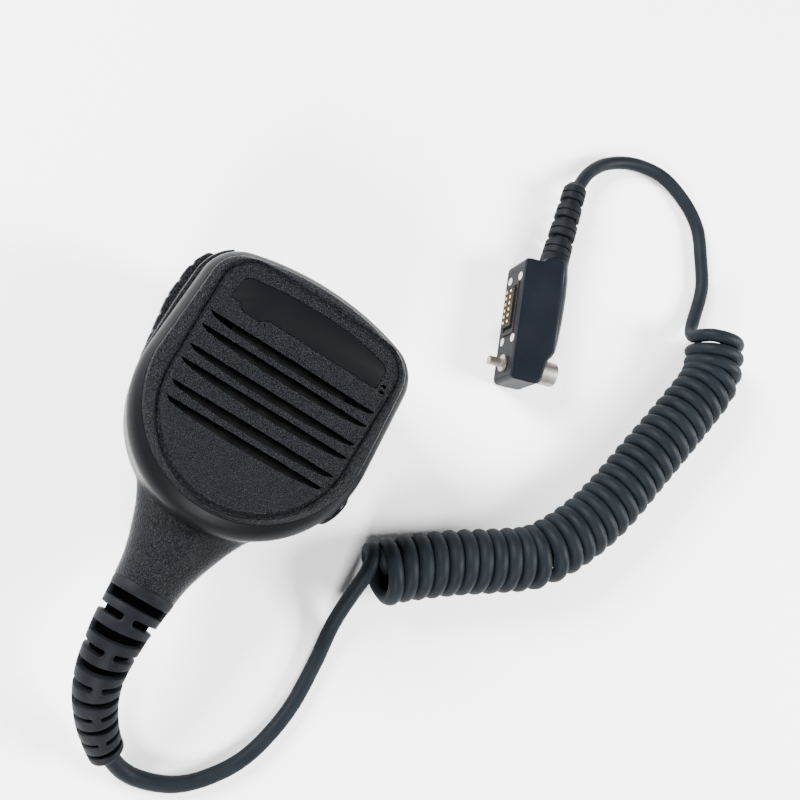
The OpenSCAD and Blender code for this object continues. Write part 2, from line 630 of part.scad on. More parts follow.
module clip_spring() color("silver") translate([0, hinge_y, clip_pin_z]) {
    for (k = [0:5]) difference() {
        along_x(2.5, -4.8 + k * 1.6, -3.6 + k * 1.6);
        along_x(1.7, -6, 6);
    }
    block(-4.6, 4.6, -2.4, -1.8, -0.6, 0.6);
}

// ---- plug ----

module at_plug() translate(plug_at) rotate([0, 0, plug_turn]) children();
plug_x1 = plug_x0 + plug_w;
module plug_shape(inset, z0, z1) translate([0, 0, z0]) linear_extrude(height = z1 - z0)
    polygon([[plug_x0, -plug_l + inset], [plug_x0, -5 - inset], [plug_x0 + 3, -2 - inset],
        [relief_x - 5.5, -inset], [plug_x1 - 2 - inset, -inset], [plug_x1 - inset, -2 - inset],
        [plug_x1 - inset, -plug_l + notch[1] + inset], [plug_x1 - notch[0] - inset, -plug_l + notch[1] + inset],
        [plug_x1 - notch[0] - inset, -plug_l + inset]]);
module plug_housing() color([0.10, 0.12, 0.14]) at_plug() difference() {
    union() {
        plug_shape(1.2, 0, plug_t);
        plug_shape(0, 1.2, plug_t - 1.2);
    }
    translate([-eps, 0, 0]) difference() {
        plug_shape(plug_wall + 0.6, plug_wall, plug_t - plug_wall);
        translate([0, fixing_y, fixing_z]) along_x(3.4, plug_x0 + base_t, 20);
    }
    block(plug_x0 - 1, plug_x0 + base_t, -plug_l + 1.4, -6.2, 1.4, plug_t - 1.4);
    translate([0, fixing_y, fixing_z]) along_x(fixing_d / 2 + 0.1, -20, 20);
    translate([relief_x, 0, fixing_z]) along_y(cord_d / 2 + 0.2, -6, 1);
}
PLUG_SCREWS = [[-9, 3.2], [-9, plug_t - 3.2], [-plug_l + 14, 3.2], [-plug_l + 14, plug_t - 3.2]];
module plug_base() color([0.07, 0.07, 0.08]) at_plug() difference() {
    block(plug_x0, plug_x0 + base_t - 0.05, -plug_l + 1.5, -6.3, 1.5, plug_t - 1.5);
    block(plug_x0 - 1, plug_x0 + 3, -26, -12.4, 4, plug_t - 4);
    seal_ring(plug_x0 - 1, plug_x0 + 0.8);
    for (p = PLUG_SCREWS) translate([0, p[0], p[1]]) {
        along_x(0.9, -20, 0);
        along_x(1.5, -20, plug_x0 + 0.6);
    }
    translate([0, fixing_y, fixing_z]) along_x(fixing_d / 2 + 0.1, -20, 0);
}
module plug_base_screws() color("silver") at_plug() for (p = PLUG_SCREWS)
    translate([0, p[0], p[1]]) {
        along_x(1.4, plug_x0 + 0.05, plug_x0 + 0.6);
        along_x(0.8, plug_x0 + 0.5, plug_x0 + 4);
    }
module seal_ring(x0, x1) difference() {
    block(x0, x1, -28.4, -10.6, 3, plug_t - 3);
    block(x0 - 1, x1 + 1, -27.2, -11.8, 3.6, plug_t - 3.6);
}
module plug_seal() color([0.3, 0.3, 0.32]) at_plug() seal_ring(plug_x0 - 0.4, plug_x0 + 0.8);
module contact_block() color([0.10, 0.10, 0.11]) at_plug() difference() {
    block(plug_x0 - 1, plug_x0 + 5, -25.8, -12.6, 4.2, plug_t - 4.2);
    contact_places() along_x(0.55, plug_x0 - 2, plug_x0 + 7);
}
module contact_places() for (k = [0:5], s = [-1, 1])
    translate([0, -24.4 + 2.1 * k, plug_t / 2 + s * 1.5]) children();
module plug_contacts() color("gold") at_plug() contact_places() along_x(0.5, plug_x0 - 1.6, plug_x0 + 6);
module fixing_screw() color([0.6, 0.6, 0.62]) at_plug() translate([0, fixing_y, fixing_z]) {
    along_x(fixing_d / 2, plug_x0 - thread_end, plug_x0 - thread_end + thread_l);
    along_x(shank_r, plug_x0 - thread_end + thread_l - eps, plug_x1 - notch[0] + 0.6);
    difference() {
        along_x(4, plug_x1 - notch[0] + 0.5, plug_x1 - 0.4);
        block(plug_x1 - 1.6, plug_x1 + 1, -5, 5, -0.6, 0.6);
    }
}
module screw_clip() color("silver") at_plug() translate([0, fixing_y, fixing_z]) difference() {
    along_x(2.8, plug_x0 - 0.8, plug_x0 - 0.2);
    along_x(shank_r + run, plug_x0 - 2, plug_x0 + 1);
}
module plug_relief() color([0.14, 0.15, 0.17]) at_plug() difference() {
    translate([relief_x, 0, fixing_z]) rotate([0, 0, -relief_lean]) difference() {
        union() {
            along_y(3.6, -1, relief_l);
            for (k = [0:3]) along_y(5.4 - 0.3 * k, -1 + 7.5 * k, 5 + 7.5 * k);
        }
        along_y(cord_d / 2 + 0.1, -2, relief_l + 2);
    }
    block(-20, 20, -5, 0, -1, plug_t + 1);
}

front_cover();
rear_shell();
shell_gasket();
housing_screws();
label_plate();
grille_cloth();
speaker_gasket();
speaker_frame();
speaker_yoke();
speaker_magnet();
speaker_cone();
speaker_surround();
speaker_clamp();
speaker_clamp_screws();
microphone_boot();
microphone_capsule();
circuit_board();
board_components();
board_screws();
lead_connector();
inner_wires();
talk_switch();
switch_plunger();
talk_bracket();
talk_pin();
talk_button();
jack_socket();
jack_cap();
jack_cap_hinge();
cable_clamp();
cable_clamp_screws();
strain_relief();
swivel_insert();
swivel_washer();
swivel_screw();
clip_plate();
clip_arm();
clip_pin();
clip_spring();
lead_cord();
coil_cord();
tail_cord();
plug_relief();
plug_housing();
plug_base();
plug_base_screws();
plug_seal();
contact_block();
plug_contacts();
fixing_screw();
screw_clip();
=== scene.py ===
# %% [markdown]
# # A hand microphone with a coiled lead
# This lesson dresses a packed mechanical model in the shapes and finishes of the real
# thing. We model nicer skins over the plain ones, and give each part the surface it has
# in life: grained plastic, soft rubber, black film, plated steel.

# %% Load the mechanical frame
import math
import bpy
from mathutils import Matrix, Vector


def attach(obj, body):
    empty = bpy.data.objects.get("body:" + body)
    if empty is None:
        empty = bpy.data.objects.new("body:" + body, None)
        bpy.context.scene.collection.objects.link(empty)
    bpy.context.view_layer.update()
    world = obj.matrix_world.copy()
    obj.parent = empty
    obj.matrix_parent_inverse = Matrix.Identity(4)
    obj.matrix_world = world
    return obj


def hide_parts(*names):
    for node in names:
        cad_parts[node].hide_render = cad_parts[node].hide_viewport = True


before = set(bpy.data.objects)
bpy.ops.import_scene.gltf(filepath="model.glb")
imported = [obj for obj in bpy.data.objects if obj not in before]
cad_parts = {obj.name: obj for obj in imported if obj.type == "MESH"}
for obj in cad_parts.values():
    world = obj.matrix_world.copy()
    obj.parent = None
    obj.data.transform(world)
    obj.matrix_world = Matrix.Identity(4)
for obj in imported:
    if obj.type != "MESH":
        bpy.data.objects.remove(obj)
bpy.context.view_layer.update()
mm = 0.001
print("mechanical parts:", len(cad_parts))

# %% [markdown]
# The camera comes first, because everything else is judged through it. It stands above
# the lower left of the microphone and is rolled, so the microphone lies slanted across the
# frame, with its lead running round to the plug on the right.

# %% Camera
bpy.ops.object.camera_add(location=(-0.0204, -0.0538, 0.274))
camera = bpy.context.object
look = Vector((0.0394, 0.0315, 0.0)) - camera.location
camera.rotation_euler = (look.to_track_quat("-Z", "Y").to_matrix()
                         @ Matrix.Rotation(math.radians(65.9), 3, "Z")).to_euler()
camera.data.lens = 41.67
camera.data.sensor_width = 36
camera.data.clip_start = 0.01
bpy.context.scene.camera = camera
print("camera lens:", camera.data.lens)

# %% [markdown]
# Soft studio light: one large key panel, a fill from the other side and a rim panel. The
# dark plastic shows its grain only where a panel is mirrored in it, so the panels are big
# and low rather than one lamp overhead.

# %% Lights and world
def panel_light(name, place, aim, size, power):
    bpy.ops.object.light_add(type="AREA", location=place)
    light = bpy.context.object
    light.name = name
    light.data.size = size
    light.data.energy = power
    light.rotation_euler = (Vector(aim) - Vector(place)).to_track_quat("-Z", "Y").to_euler()
    return light


panel_light("key_panel", (-0.80, 0.15, 0.60), (0.03, 0.03, 0.02), 0.40, 52.0)
panel_light("fill_panel", (0.80, 0.30, 0.55), (0.03, 0.03, 0.02), 0.35, 38.0)
panel_light("low_panel", (0.10, -0.85, 0.60), (0.03, 0.0, 0.02), 0.30, 25.0)
world = bpy.data.worlds.new("pale_room")
bpy.context.scene.world = world
world.use_nodes = True
world.node_tree.nodes["Background"].inputs["Color"].default_value = (1, 1, 1, 1)
world.node_tree.nodes["Background"].inputs["Strength"].default_value = 0.22

# %% [markdown]
# ## Finishes
# A finish is a small node tree. It starts from the shader's own sockets, and then noise
# or cell patterns on Object coordinates give it grain in millimetres. Object coordinates
# are in metres here, so a pattern scale of 1000 gives cells about a millimetre wide.

# %% Finish helper
def new_finish(name, colour, roughness, **sockets):
    finish = bpy.data.materials.new(name)
    finish.use_nodes = True
    shader = finish.node_tree.nodes["Principled BSDF"]
    shader.inputs["Base Color"].default_value = (*colour, 1)
    shader.inputs["Roughness"].default_value = roughness
    for socket, value in sockets.items():
        shader.inputs[socket.replace("_", " ")].default_value = value
    return finish


def pattern(finish, kind, scale, **settings):
    tree = finish.node_tree
    place = tree.nodes.get("Texture Coordinate") or tree.nodes.new("ShaderNodeTexCoord")
    node = tree.nodes.new(kind)
    node.inputs["Scale"].default_value = scale
    for socket, value in settings.items():
        node.inputs[socket].default_value = value
    tree.links.new(place.outputs["Object"], node.inputs["Vector"])
    return node


def bumped(finish, sources, depth):
    """Relief from one or more pattern outputs, each (output, strength)."""
    tree = finish.node_tree
    below = None
    for output, strength in sources:
        bump = tree.nodes.new("ShaderNodeBump")
        bump.inputs["Strength"].default_value = strength
        bump.inputs["Distance"].default_value = depth
        tree.links.new(output, bump.inputs["Height"])
        if below:
            tree.links.new(below.outputs["Normal"], bump.inputs["Normal"])
        below = bump
    tree.links.new(below.outputs["Normal"], tree.nodes["Principled BSDF"].inputs["Normal"])


def ranged(finish, output, low, high, socket):
    """Spreads a pattern between two values of one shader socket."""
    tree = finish.node_tree
    spread = tree.nodes.new("ShaderNodeMapRange")
    spread.inputs["To Min"].default_value = low
    spread.inputs["To Max"].default_value = high
    tree.links.new(output, spread.inputs["Value"])
    tree.links.new(spread.outputs["Result"], tree.nodes["Principled BSDF"].inputs[socket])


def tinted(finish, output, dark, light, start=0.3, end=0.7):
    tree = finish.node_tree
    ramp = tree.nodes.new("ShaderNodeValToRGB")
    ramp.color_ramp.elements[0].position = start
    ramp.color_ramp.elements[1].position = end
    ramp.color_ramp.elements[0].color = (*dark, 1)
    ramp.color_ramp.elements[1].color = (*light, 1)
    tree.links.new(output, ramp.inputs["Fac"])
    tree.links.new(ramp.outputs["Color"], tree.nodes["Principled BSDF"].inputs["Base Color"])


# %% [markdown]
# The shells are moulded ABS with a fine leather grain, and the rim between the grained
# faces is left smooth. Rounded cells make the grain, and a finer noise breaks them up and
# pales its high spots in the base colour: painted glints, standing for the sparkle of lit grain.

# %% Shell finishes
def grained_plastic(name, dark, light, cell, strength):
    finish = new_finish(name, dark, 0.45, Specular_IOR_Level=0.05)
    cells = pattern(finish, "ShaderNodeTexVoronoi", 1 / (cell * mm), Randomness=1.0)
    fine = pattern(finish, "ShaderNodeTexNoise", 2 / (cell * mm), Detail=3.0)
    bumped(finish, [(cells.outputs["Distance"], strength), (fine.outputs["Fac"], strength * 0.6)],
           -0.34 * mm)
    ranged(finish, fine.outputs["Fac"], 0.12, 0.48, "Roughness")
    # painted glints: the high spots of the fine noise are paler in the base colour than the
    # hollows
    tinted(finish, fine.outputs["Fac"], dark, light, 0.52, 0.74)
    return finish


def smooth_plastic(name, dark, light, low, high, orange_peel=0.12):
    finish = new_finish(name, dark, (low + high) / 2, Specular_IOR_Level=0.045)
    peel = pattern(finish, "ShaderNodeTexNoise", 900, Detail=4.0)
    slow = pattern(finish, "ShaderNodeTexNoise", 90, Detail=5.0)
    bumped(finish, [(peel.outputs["Fac"], orange_peel)], 0.08 * mm)
    ranged(finish, slow.outputs["Fac"], low, high, "Roughness")
    tinted(finish, slow.outputs["Fac"], dark, light)
    return finish


shell_grain_and_painted_glints = grained_plastic("shell_grain_and_painted_glints", (0.0016, 0.0019, 0.0026),
                              (0.0260, 0.0285, 0.0330), 0.50, 1.0)
rim_satin = smooth_plastic("rim_satin", (0.0026, 0.0029, 0.0036),
                           (0.0036, 0.0040, 0.0048), 0.34, 0.44)
label_black = smooth_plastic("label_black", (0.0016, 0.0018, 0.0026),
                             (0.0024, 0.0026, 0.0034), 0.50, 0.60)
plug_plastic = smooth_plastic("plug_plastic", (0.0026, 0.0036, 0.0054),
                              (0.0040, 0.0052, 0.0074), 0.34, 0.48, 0.3)
cap_gloss = smooth_plastic("cap_gloss", (0.0026, 0.0028, 0.0034),
                           (0.0040, 0.0042, 0.0050), 0.14, 0.24)
# painted shade: near black with no specular reflection, for slot walls, hollows and parts seen
# through openings
painted_slot_shade = smooth_plastic("painted_slot_shade", (0.0004, 0.0004, 0.0005),
                            (0.0008, 0.0008, 0.0009), 0.70, 0.85)
painted_slot_shade.node_tree.nodes["Principled BSDF"].inputs["Specular IOR Level"].default_value = 0.0
black_plastic = smooth_plastic("black_plastic", (0.0050, 0.0052, 0.0058),
                               (0.0085, 0.0087, 0.0095), 0.38, 0.52)
print("shell finishes ready")

# %% [markdown]
# Cord and strain reliefs are matt rubber: a slate grey with a dusty bloom, so the colour
# drifts slowly and the roughness is high. Metals get fine scratches instead, stretched
# noise that changes only the roughness.

# %% Rubber, cloth and metal finishes
def rubber(name, dark, light, strength=0.35):
    finish = new_finish(name, dark, 0.6, Specular_IOR_Level=0.06)
    grit = pattern(finish, "ShaderNodeTexNoise", 1600, Detail=5.0)
    bloom = pattern(finish, "ShaderNodeTexNoise", 140, Detail=6.0)
    bumped(finish, [(grit.outputs["Fac"], strength)], 0.06 * mm)
    ranged(finish, bloom.outputs["Fac"], 0.46, 0.66, "Roughness")
    tinted(finish, bloom.outputs["Fac"], dark, light)
    return finish


def metal(name, dark, light, low, high):
    finish = new_finish(name, light, low, Metallic=1.0)
    scratch = pattern(finish, "ShaderNodeTexNoise", 800, Detail=8.0, Distortion=2.0)
    slow = pattern(finish, "ShaderNodeTexNoise", 150, Detail=4.0)
    bumped(finish, [(scratch.outputs["Fac"], 0.12)], 0.05 * mm)
    ranged(finish, scratch.outputs["Fac"], low, high, "Roughness")
    tinted(finish, slow.outputs["Fac"], dark, light)
    return finish


cord_rubber = rubber("cord_rubber", (0.0034, 0.0052, 0.0068), (0.0054, 0.0078, 0.0098))
boot_rubber = rubber("boot_rubber", (0.0026, 0.0032, 0.0044), (0.0040, 0.0048, 0.0062))
seal_rubber = rubber("seal_rubber", (0.0080, 0.0080, 0.0082), (0.0130, 0.0130, 0.0135))
steel = metal("bright_steel", (0.42, 0.42, 0.43), (0.62, 0.62, 0.63), 0.22, 0.42)
dull_steel = metal("dull_steel", (0.20, 0.18, 0.16), (0.36, 0.33, 0.30), 0.34, 0.55)
brass = metal("brass", (0.50, 0.34, 0.14), (0.70, 0.50, 0.22), 0.22, 0.40)
gold = metal("contact_gold", (0.75, 0.52, 0.20), (0.90, 0.66, 0.28), 0.15, 0.28)
aluminium = metal("aluminium", (0.60, 0.60, 0.62), (0.78, 0.78, 0.80), 0.28, 0.42)
ferrite = metal("magnet_grey", (0.10, 0.10, 0.11), (0.18, 0.18, 0.19), 0.40, 0.60)
print("rubber and metal finishes ready")

# %% [markdown]
# A woven cloth keeps dust out behind the slots, and its mesh of threads is a brick
# pattern used only as relief. The last finishes belong to parts that show only when the
# microphone is open. The map at the end joins each mechanical slot to its finish.

# %% Inside finishes
def cloth(name, dark, light):
    finish = new_finish(name, dark, 0.85, Specular_IOR_Level=0.02)
    weave = pattern(finish, "ShaderNodeTexBrick", 900)
    bumped(finish, [(weave.outputs["Fac"], 0.6)], 0.05 * mm)
    ranged(finish, weave.outputs["Fac"], 0.75, 0.95, "Roughness")
    slow = pattern(finish, "ShaderNodeTexNoise", 300, Detail=4.0)
    tinted(finish, slow.outputs["Fac"], dark, light)
    return finish


cloth_black = cloth("cloth_black", (0.002, 0.002, 0.002), (0.005, 0.005, 0.005))
cone_paper = cloth("cone_paper", (0.020, 0.019, 0.018), (0.035, 0.033, 0.031))
board_green = smooth_plastic("board_green", (0.010, 0.080, 0.035),
                             (0.015, 0.110, 0.050), 0.25, 0.40)
connector_white = smooth_plastic("connector_white", (0.62, 0.60, 0.52),
                                 (0.72, 0.70, 0.62), 0.35, 0.50)
wire_red = smooth_plastic("wire_red", (0.35, 0.02, 0.02), (0.45, 0.03, 0.03), 0.30, 0.45)
FINISH_OF_SLOT = {
    "shell_plastic": shell_grain_and_painted_glints, "button_rubber": shell_grain_and_painted_glints, "cord_rubber": cord_rubber,
    "cap_rubber": cap_gloss, "seal_rubber": seal_rubber, "label_film": label_black,
    "black_plastic": black_plastic, "cloth_black": cloth_black, "screw_steel": steel,
    "plate_steel": steel, "spring_steel": dull_steel, "magnet_grey": ferrite,
    "can_aluminium": aluminium, "board_green": board_green,
    "connector_white": connector_white, "wire_red": wire_red, "paper_cone": cone_paper,
    "brass": brass, "contact_gold": gold,
}
print("inside finishes ready")

# %% [markdown]
# ## Helpers for modelling
# `bpy.ops` works on what is selected, so `alone` selects one object and nothing else.
# `wrapped` is how the free shapes are made: a flat grid is added, and each of its points
# is carried to where a small function puts it, like a sheet of clay laid round a form.

# %% Modelling helpers
def alone(*objects):
    bpy.ops.object.select_all(action="DESELECT")
    for o in objects:
        o.select_set(True)
    bpy.context.view_layer.objects.active = objects[0]


def tidy_mesh(piece, merge=0.004):
    alone(piece)
    bpy.ops.object.mode_set(mode="EDIT")
    bpy.ops.mesh.select_all(action="SELECT")
    bpy.ops.mesh.remove_doubles(threshold=merge * mm)
    bpy.ops.mesh.normals_make_consistent(inside=False)
    bpy.ops.object.mode_set(mode="OBJECT")


def wrapped(name, across, along, place, drop=None):
    """A grid of across x along cells, its points placed by place(u, v), u and v from 0 to 1."""
    bpy.ops.mesh.primitive_grid_add(x_subdivisions=across, y_subdivisions=along, size=1)
    piece = bpy.context.object
    piece.name = piece.data.name = name
    if drop:
        bpy.ops.object.mode_set(mode="EDIT")
        bpy.ops.mesh.select_mode(type="FACE")
        bpy.ops.mesh.select_all(action="DESELECT")
        bpy.ops.object.mode_set(mode="OBJECT")
        for face in piece.data.polygons:
            face.select = drop(face.center.x + 0.5, face.center.y + 0.5)
        bpy.ops.object.mode_set(mode="EDIT")
        bpy.ops.mesh.delete(type="FACE")
        bpy.ops.mesh.select_mode(type="VERT")
        bpy.ops.object.mode_set(mode="OBJECT")
    for point in piece.data.vertices:
        point.co = place(point.co.x + 0.5, point.co.y + 0.5)
    tidy_mesh(piece)
    return piece


def lidded(piece):
    """Closes each open end of a tube with its own flat face."""
    alone(piece)
    bpy.ops.object.mode_set(mode="EDIT")
    bpy.ops.mesh.select_all(action="SELECT")
    bpy.ops.mesh.fill_holes(sides=0)
    bpy.ops.mesh.select_all(action="SELECT")
    bpy.ops.mesh.normals_make_consistent(inside=False)
    bpy.ops.object.mode_set(mode="OBJECT")
    return piece


def modified(piece, kind, **settings):
    alone(piece)
    modifier = piece.modifiers.new(kind.lower(), kind)
    for key, value in settings.items():
        setattr(modifier, key, value)
    bpy.ops.object.modifier_apply(modifier=modifier.name)
    return piece


def combined(piece, other, operation="DIFFERENCE"):
    modified(piece, "BOOLEAN", object=other, operation=operation, solver="EXACT")
    bpy.data.objects.remove(other)
    return piece


def block(name, low, high):
    """A box from its lowest to its highest corner, in millimetres."""
    low, high = Vector(low) * mm, Vector(high) * mm
    bpy.ops.mesh.primitive_cube_add(size=1, location=(low + high) / 2)
    piece = bpy.context.object
    piece.name = name
    piece.scale = high - low
    bpy.ops.object.transform_apply(location=True, rotation=True, scale=True)
    return piece


def rod(name, radius, low, high, sides=48):
    """A cylinder between two points, in millimetres."""
    low, high = Vector(low) * mm, Vector(high) * mm
    bpy.ops.mesh.primitive_cylinder_add(vertices=sides, radius=radius * mm,
                                        depth=(high - low).length, location=(low + high) / 2)
    piece = bpy.context.object
    piece.name = name
    piece.rotation_euler = (high - low).to_track_quat("Z", "Y").to_euler()
    bpy.ops.object.transform_apply(location=True, rotation=True, scale=True)
    return piece


def finished(piece, body, finishes, stands_for=(), angle=35):
    """Last steps for a piece: flat places stay flat, finishes, and what it rides on."""
    alone(piece)
    bpy.ops.object.transform_apply(location=True, rotation=True, scale=True)
    bpy.ops.object.shade_smooth_by_angle(angle=math.radians(angle))
    piece.data.materials.clear()
    for finish in finishes:
        piece.data.materials.append(finish)
    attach(piece, body)
    if stands_for:
        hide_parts(*stands_for)
    print(piece.name, len(piece.data.polygons), "faces")
    return piece


# %% [markdown]
# ## The lead
# One cord runs all the way: out of the strain relief and down to the table, round in a
# loose bend, up through about thirty-three turns of coil that lie on the table, and round
# again into the plug. A real coil is wound on a rod and baked, so it is one curve here.
# The straight stretches follow a few points through a smooth curve.

# %% Route of the lead
LEAD = [(0, -39.5, 24), (-0.4, -60, 24), (-0.2, -69, 23.4), (1.6, -79.5, 20.5),
        (6.5, -88.4, 15), (14.8, -96.2, 8), (24, -99.4, 3.4), (35.4, -96.9, 2.4),
        (44, -90.2, 2.4), (50.5, -80.6, 2.4), (54.4, -66, 2.4), (54.7, -51, 2.4),
        (53.6, -40, 3.8), (52.8, -31, 8.8), (52.4, -24.5, 13.8)]
COIL = [(56, -21, 10), (63, -15, 10), (76, -6, 10), (89, 2, 10), (99, 9, 10), (107, 20, 10),
        (114, 35, 10), (120, 56, 10), (126, 78, 10), (129.6, 95.5, 10), (125.5, 108.5, 10)]
TAIL = [(118.4, 114, 2.4), (118.2, 120, 2.4),
        (116.5, 128, 2.4), (111, 138, 2.4),
        (105, 147, 2.4), (96, 153, 2.4), (84, 156, 2.4), (72, 153, 2.4), (63, 146, 3),
        (58, 137, 5), (56.4, 128.2, 7)]
cord_d = 4.6
turns = 33
coil_mean = 7.7


def through(points, steps):
    """A smooth curve through the points, steps pieces between each two."""
    pts = [Vector(p) for p in points]
    line = []
    for i in range(len(pts) - 1):
        a, b, c, d = pts[max(i - 1, 0)], pts[i], pts[i + 1], pts[min(i + 2, len(pts) - 1)]
        for k in range(steps):
            t = k / steps
            line.append(0.5 * (2 * b + (c - a) * t + (2 * a - 5 * b + 4 * c - d) * t * t
                               + (3 * b - a - 3 * c + d) * t ** 3))
    return line + [pts[-1]]


def spaced(line, count):
    """The same line as count points at even distances."""
    far = [0.0]
    for a, b in zip(line, line[1:]):
        far.append(far[-1] + (b - a).length)
    out, i = [], 0
    for k in range(count):
        want = far[-1] * k / (count - 1)
        while i < len(line) - 2 and far[i + 1] < want:
            i += 1
        t = (want - far[i]) / max(far[i + 1] - far[i], 1e-9)
        out.append(line[i].lerp(line[i + 1], min(max(t, 0), 1)))
    return out


def run_length(line):
    return sum((b - a).length for a, b in zip(line, line[1:]))


print("lead to the coil:", round(run_length(through(LEAD[5:], 8))), "mm")

# %% [markdown]
# The coil is wound by walking along its axis and turning left-handed about it. One turn
# near the start is a little looser, as it is on a used lead, so the pitch varies by a
# small bump at that place. Where the coil meets the straight stretches the cord would
# have sharp corners, so both joins are evened out, most at the join itself.

# %% The coiled cord
axis = spaced(through(COIL, 12), 600)
axis_length = run_length(axis)


def axis_place(share):
    """Point and direction of the coil's axis, share from 0 to 1."""
    at = min(max(share, 0), 1) * (len(axis) - 1)
    i = min(int(at), len(axis) - 2)
    return axis[i].lerp(axis[i + 1], at - i), (axis[i + 1] - axis[max(i - 1, 0)]).normalized()


def wound(turn):
    """Share of the axis reached after this many turns."""
    loose = 0.35 / (1 + math.exp(-(turn - 11.5) * 3.0))
    return (turn + loose) / (turns + 0.35)


per_turn = 48
start_angle = math.radians(45)
helix = []
for k in range(turns * per_turn + 7):
    turn = k / per_turn
    middle, ahead = axis_place(wound(turn))
    side = ahead.cross(Vector((0, 0, 1))).normalized()
    up = side.cross(ahead)
    angle = start_angle + 2 * math.pi * turn
    helix.append(middle + coil_mean * (up * math.cos(angle) - side * math.sin(angle)))

lead_part = spaced(through(LEAD[4:], 8), 60)
tail_part = spaced(through(TAIL, 8), 50)


def joined(a, b, steps):
    """A short smooth bridge from the end of line a to the start of line b."""
    p, q = a[-1], b[0]
    u, w = (a[-1] - a[-3]).normalized(), (b[2] - b[0]).normalized()
    reach = (q - p).length / 3
    bridge = []
    for k in range(1, steps):
        t = k / steps
        bridge.append((1 - t) ** 3 * p + 3 * (1 - t) ** 2 * t * (p + u * reach)
                      + 3 * (1 - t) * t * t * (q - w * reach) + t ** 3 * q)
    return a + bridge + b


def relaxed(line, at, reach, rounds):
    """Evens out the bends round one place of a line, less and less towards the ends."""
    for _ in range(rounds):
        for k in range(at - reach, at + reach + 1):
            ease = 0.45 * (1 + math.cos(math.pi * (k - at) / reach))
            line[k] = line[k].lerp((line[k - 1] + line[k + 1]) / 2, ease)


bridge_steps, route_points, join_reach, join_rounds = 10, 1700, 16, 20
route = joined(joined(lead_part, helix, bridge_steps), tail_part, bridge_steps)
first_join = run_length(lead_part)
last_join = run_length(route) - run_length(tail_part)
route = spaced(route, route_points)
step = run_length(route) / (route_points - 1)
for join in (first_join, last_join):
    relaxed(route, round(join / step), join_reach, join_rounds)
bpy.ops.curve.primitive_bezier_curve_add()
cord = bpy.context.object
cord.name = cord.data.name = "lead"
cord.data.splines.clear()
strand = cord.data.splines.new("POLY")
strand.points.add(len(route) - 1)
for point, place in zip(strand.points, route):
    point.co = (*(place * mm), 1)
cord.data.dimensions = "3D"
cord.data.bevel_depth = cord_d / 2 * mm
cord.data.bevel_resolution = 5
cord.data.use_fill_caps = True
cord.location = (0, 0, 0)
cord.data.materials.append(cord_rubber)
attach(cord, "microphone")
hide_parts("lead_cord", "coil_cord", "tail_cord")
cord_length = run_length(route)
print("whole cord:", round(cord_length), "mm, coil axis", round(axis_length), "mm")

# %% [markdown]
# ## The outline of the head
# Seen from the front, the head is a large circle below, two small corner circles above
# and a shallow crown between them. The same few circles give the shell, the grained panel
# and everything in between, so one function serves: it walks round the circles and gives
# each point together with the direction it faces.

# %% Outline helper
part_z, face_z, back_z, neck_z = 37.0, 45.0, 12.0, 24.0


def arc(centre, radius, start, end, count):
    """Points of an arc with their outward directions, angles in degrees."""
    out = []
    for k in range(count):
        a = math.radians(start + (end - start) * k / (count - 1))
        way = Vector((math.cos(a), math.sin(a), 0))
        out.append((Vector((centre[0], centre[1], 0)) + radius * way, way))
    return out


def head_outline(low_r, low_y, corner_r, corner_x, corner_y, crown_y):
    rise, across = corner_y - low_y, corner_x
    lean = math.degrees(math.atan2(rise, across)
                        - math.acos((low_r - corner_r) / math.hypot(rise, across)))
    drop = corner_y - crown_y
    crown_r = (corner_r ** 2 - corner_x ** 2 - drop ** 2) / (2 * (drop + corner_r))
    crown = math.degrees(math.atan2(corner_x, crown_r + drop))
    line = arc((corner_x, corner_y), corner_r, lean, 90 - crown, 24)
    line += arc((0, crown_y - crown_r), crown_r, 90 - crown, 90 + crown, 24)[1:-1]
    line += arc((-corner_x, corner_y), corner_r, 90 + crown, 180 - lean, 24)
    start, end = line[-1], arc((0, low_y), low_r, 180 - lean, 360 + lean, 2)[0]
    line += [(start[0].lerp(end[0], k / 14), start[1]) for k in range(1, 14)]
    line += arc((0, low_y), low_r, 180 - lean, 360 + lean, 96)
    start, end = line[-1], line[0]
    line += [(start[0].lerp(end[0], k / 14), end[1]) for k in range(1, 14)]
    return line


HEAD = head_outline(32.5, -4.5, 12, 19.7, 20.0, 35.0)
PANEL = head_outline(25.1, -5.2, 8, 17.9, 20.1, 28.5)
PANEL = [(place + Vector((0.4, 0, 0)), way) for place, way in PANEL]
count = len(HEAD)


def rim(i, inset, z, shape=HEAD):
    place, way = shape[i % count]
    return Vector((place.x - inset * way.x, place.y - inset * way.y, z))


print("outline points:", count)

# %% [markdown]
# ## The front cover
# The cover is a deep moulded lid. Its side rises to a smooth satin rim, then comes a
# grained shoulder, a narrow groove, and the grained panel with the slots. It is built
# ring by ring from the inner ceiling, round the lower edge, to the panel. The smooth rim
# is broader at the round end.

# %% Front cover body
def rim_width(i):
    """How wide the smooth rim looks from the front, broader round the lower end."""
    return 2.3 + 2.0 * max(0.0, -HEAD[i % count][1].y)


def between(i, share, z):
    """From the rim's inner edge towards the panel's groove, by share."""
    return rim(i, rim_width(i) + 0.6, z).lerp(rim(i, -1.25, z, PANEL), share)


